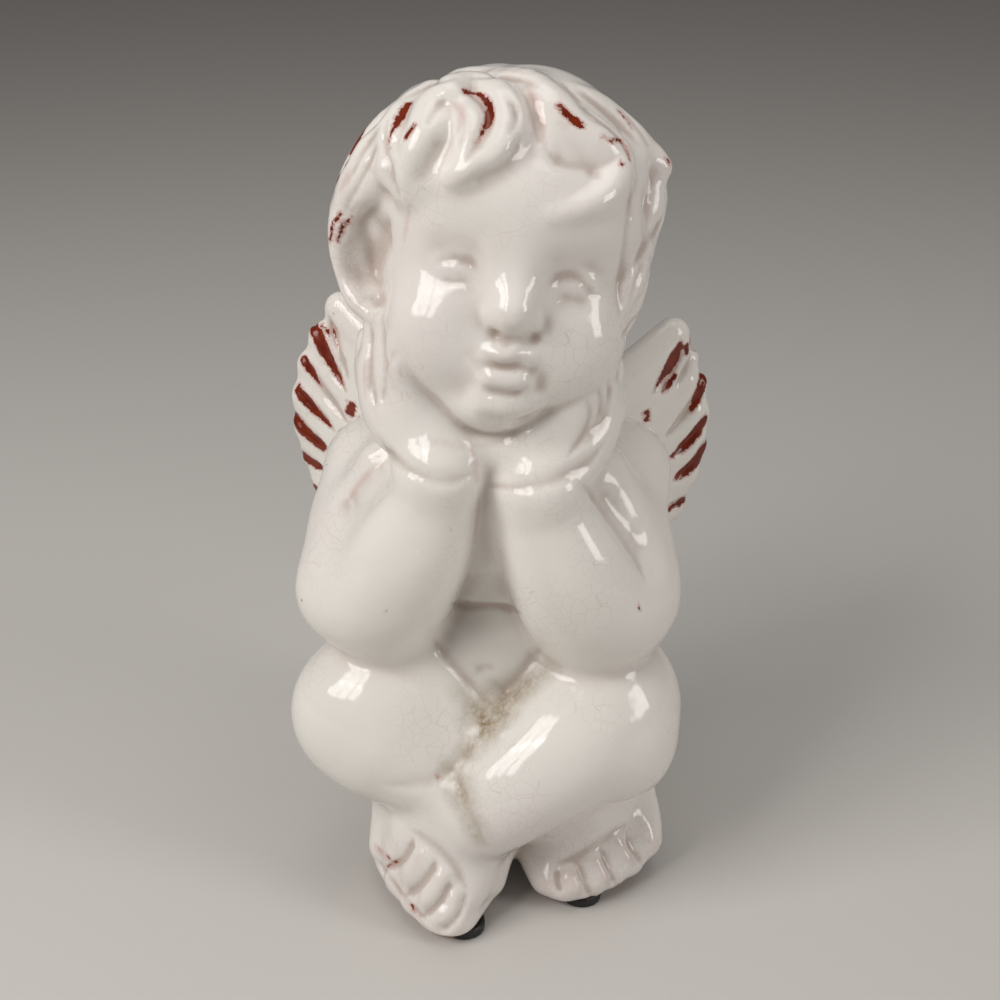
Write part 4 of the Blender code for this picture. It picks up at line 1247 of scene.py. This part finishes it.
# Streaks of bare clay on the wings
LEFT_STREAKS = [
    [
        (-36.1, 154.9, 1.1), (-35.2, 152.4, 1.8), (-33.4, 147.9, 1.8), (-31.7, 144.4, 1),
        (-30.4, 141.3, 0.4),
    ],
    [(-34.1, 154.1, 0.4), (-32.9, 152.4, 0.4)],
    [(-32.2, 154.8, 0.1), (-31.5, 152.2, 0.4), (-31, 149.6, 0.1)],
    [(-38.2, 146.5, 1.2), (-36.7, 144.1, 1.1), (-34.9, 141, 0.2)],
    [(-39.8, 139.8, 1.4), (-37.7, 137, 1.5), (-35.5, 134.5, 1.1), (-33.3, 131.9, 0.4)],
    [
        (-41.1, 135.1, 1.5), (-39.9, 131.9, 1.8), (-37.5, 129.3, 1.6), (-35, 127, 1.5),
        (-33.4, 125.9, 1.1),
    ],
    [(-40, 125.5, 1.2), (-38.2, 123.9, 1.4), (-36.1, 122.6, 1.2), (-34.7, 121.9, 0.6)],
    [(-38.5, 118.1, 1.4), (-36.9, 116.9, 1.4)],
    [(-28.9, 136.9, 1.2), (-29.2, 135.1, 1.4)],
    [(-39.3, 141.2, 0.4), (-39.1, 140.9, 0.4)],
]
RIGHT_STREAKS = [
    [(38.4, 151.6, 0.6), (37.5, 149, 1.8), (36.2, 146.4, 1.8), (35.1, 144.2, 0.9), (34.2, 142.5, 0.6)],
    [(37.7, 144.5, 0.6), (36.4, 142.5, 1), (35.3, 141.2, 0.4)],
    [(39.6, 151, 1), (39.9, 149.7, 0.9)],
    [(41.7, 153.6, 1.2), (41.5, 150.2, 0.6)],
    [(43.6, 147.9, 0.9), (43.4, 143.7, 1.5), (42.5, 139.8, 1.5), (41, 136.7, 0.5)],
    [(44.2, 135.2, 1.2), (42.5, 132.2, 1.8), (40.4, 129.2, 1.5), (37.8, 126.4, 0.5)],
    [(45.1, 130.5, 0.9), (43.8, 127, 1.8), (41.9, 124.5, 1.8), (39.1, 122.1, 1.4), (36.3, 119.5, 0.5)],
    [(41.2, 117, 0.9), (39.4, 115.5, 1), (37.8, 114.1, 0.4)],
    [(32.2, 136.2, 1), (32.3, 134.5, 1.1)],
    [(33.6, 127.2, 0.9), (33.7, 125.4, 0.9)],
]
# Where dirt has settled, in the lap and between the shins
DIRT = [
    [(-6.6, 67.3, 0.3), (-3.9, 63, 1.4), (-1.6, 59.3, 4), (-3, 54.2, 2.2), (-5.4, 49.7, 0.8)],
    [(13.8, 75.4, 0.2), (9.3, 70.5, 1.4), (4.8, 65.8, 2.8), (1.2, 61.6, 4.2), (-1.1, 58.7, 4.4)],
    [(-9.2, 44.4, 1), (-7.3, 39.3, 1.9), (-5.5, 33, 1), (-2.7, 25.4, 0.2)],
]


def marked(points, lines, edge):
    """The weight of the lines at each point, with a soft edge of that width."""
    return np.clip(0.5 + near_lines(points, lines) / edge, 0, 1)


def weights(clay, points):
    """Named surface weights from 0 to 1: clay, thin, ridge, pool_and_shade, stain and raw."""
    bare = hair_lines(clay, BACK_STREAKS) + laid(clay, HAIR_STREAKS) + laid(clay, SPOTS)
    for side, marks in ((-1, LEFT_STREAKS), (1, RIGHT_STREAKS)):
        front = laid(clay, marks, WING_FRONT)
        bare += front + laid_behind(clay, front, wing_facing(side))
    made = {"clay": marked(points, bare, 2.4)}
    # pink blushes: thin glaze on the hair and toes, and pinkish painted shade in the body's creases and the
    # left arm's hollow
    made["thin"] = marked(points, laid(clay, BLUSHES_AND_CREASE_SHADE), 3.0)
    # bending of the surface at two sizes, from the clay's own field
    middle = clay.sample(points)
    bends = []
    for reach in (0.9, 2.4):
        bend = np.zeros(len(points))
        for axis in range(3):
            for way in (-reach, reach):
                step = np.zeros(3)
                step[axis] = way
                bend += clay.sample(points + step) - middle
        bends.append(bend / reach**2)
    made["ridge"] = np.clip((bends[0] - 0.30) / 0.65, 0, 1)
    # sharp and broad hollows and the fine creases: pooled glaze and painted shade
    sharp = np.clip((-bends[0] - 0.15) / 0.70, 0, 1)
    broad = np.clip((-bends[1] - 0.05) / 0.35, 0, 1)
    # painted shade along the mouth, the nostrils, under the lower lip and along the jaw
    fine = marked(points, laid(clay, CREASE_SHADE), 2.0)
    made["pool_and_shade"] = np.clip(0.6 * sharp + 0.6 * broad + 0.8 * fine, 0, 1.6) / 1.6
    made["stain"] = marked(points, laid(clay, DIRT), 8.0)
    made["raw"] = np.clip(1.0 - (points[:, 2] - UNDERSIDE) / 1.4, 0, 1)
    return made


def build_figure():
    """The figure's mesh, thinned, with its surface weights and its glaze."""
    clay = figure()
    points, faces = surface(clay)
    mesh = bpy.data.meshes.new("carving")
    place = (points + CENTRE_SHIFT) / METRE
    mesh.vertices.add(len(place))
    mesh.vertices.foreach_set("co", place.astype(np.float32).ravel())
    mesh.loops.add(faces.size)
    mesh.loops.foreach_set("vertex_index", faces.astype(np.int32).ravel())
    mesh.polygons.add(len(faces))
    mesh.polygons.foreach_set("loop_start", (np.arange(len(faces)) * 4).astype(np.int32))
    mesh.update(calc_edges=True)
    mesh.validate()
    rough = bpy.data.objects.new("rough", mesh)
    bpy.context.collection.objects.link(rough)
    fewer = rough.modifiers.new("fewer", "DECIMATE")
    fewer.ratio = min(1.0, MOST_TRIANGLES / (2 * len(faces)))
    fewer.use_collapse_triangulate = True
    made = applied(rough, "figure")
    at = np.empty(len(made.data.vertices) * 3, np.float32)
    made.data.vertices.foreach_get("co", at)
    at = at.reshape(-1, 3) * METRE - CENTRE_SHIFT
    for name, values in weights(clay, at).items():
        layer = made.data.attributes.new(name, "FLOAT", "POINT")
        layer.data.foreach_set("value", values.astype(np.float32))
    made.data.polygons.foreach_set("use_smooth", np.ones(len(made.data.polygons), bool))
    made.data.materials.append(glaze())
    return made


def applied(obj, name):
    """A new object of that name, with the modifiers worked into its mesh."""
    bpy.context.view_layer.update()
    graph = bpy.context.evaluated_depsgraph_get()
    mesh = bpy.data.meshes.new_from_object(obj.evaluated_get(graph))
    bpy.data.objects.remove(obj, do_unlink=True)
    made = bpy.data.objects.new(name, mesh)
    bpy.context.collection.objects.link(made)
    return made


def plain(name, colour, roughness):
    """A material of one colour."""
    made, _, shader, _ = tree_of(name)
    shader.inputs["Base Color"].default_value = (*colour, 1.0)
    shader.inputs["Roughness"].default_value = roughness
    return made


def aimed(obj, place, target):
    """Puts the object at the place, looking at the target."""
    obj.location = place
    way = Vector(target) - Vector(place)
    obj.rotation_euler = way.to_track_quat("-Z", "Y").to_euler()
    bpy.context.collection.objects.link(obj)


def light(name, place, size, power):
    """A soft rectangular light that looks at the figure."""
    lamp = bpy.data.lights.new(name, "AREA")
    lamp.shape = "RECTANGLE"
    lamp.size = size[0]
    lamp.size_y = size[1]
    lamp.energy = power
    lamp.color = LIGHT_COLOUR
    aimed(bpy.data.objects.new(name, lamp), place, LIGHT_TARGET)


def studio():
    """A pale floor, a dim sky, a window of six panes at the left, and lights above and at the right."""
    bpy.ops.mesh.primitive_plane_add(size=FLOOR_SIZE, location=(0, 0, 0))
    floor = bpy.context.object
    floor.name = "floor"
    floor.data.materials.append(plain("pale_floor", FLOOR_COLOUR, FLOOR_ROUGHNESS))
    world = bpy.data.worlds.new("studio")
    bpy.context.scene.world = world
    world.use_nodes = True
    sky = world.node_tree.nodes["Background"]
    sky.inputs[0].default_value = (*SKY_COLOUR, 1.0)
    sky.inputs[1].default_value = SKY_STRENGTH
    for column in range(PANES_ACROSS):
        for row in range(PANES_UP):
            steps = (column, column, row)
            place = [first + step * count for first, step, count in zip(FIRST_PANE, PANE_STEP, steps)]
            light("pane_%d_%d" % (column, row), place, PANE_SIZE, PANE_POWER)
    for name, (place, size, power) in OTHER_LIGHTS.items():
        light(name, place, size, power)
    bpy.context.scene.view_settings.view_transform = "Standard"


def camera():
    """The camera, at the photograph's viewing angle."""
    lens = bpy.data.cameras.new("camera")
    lens.lens = LENS
    lens.sensor_width = SENSOR
    lens.clip_start = 0.01
    lens.clip_end = 20.0
    made = bpy.data.objects.new("camera", lens)
    aimed(made, CAMERA_PLACE, CAMERA_TARGET)
    bpy.context.scene.camera = made


def main():
    """Builds the piece and the studio."""
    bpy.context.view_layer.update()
    body = build_figure()
    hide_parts("cherub")
    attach(body, "root")
    finish = rubber()
    for name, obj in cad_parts.items():
        if name.startswith("pad_"):
            for slot in obj.material_slots:
                slot.material = finish
    studio()
    camera()


main()
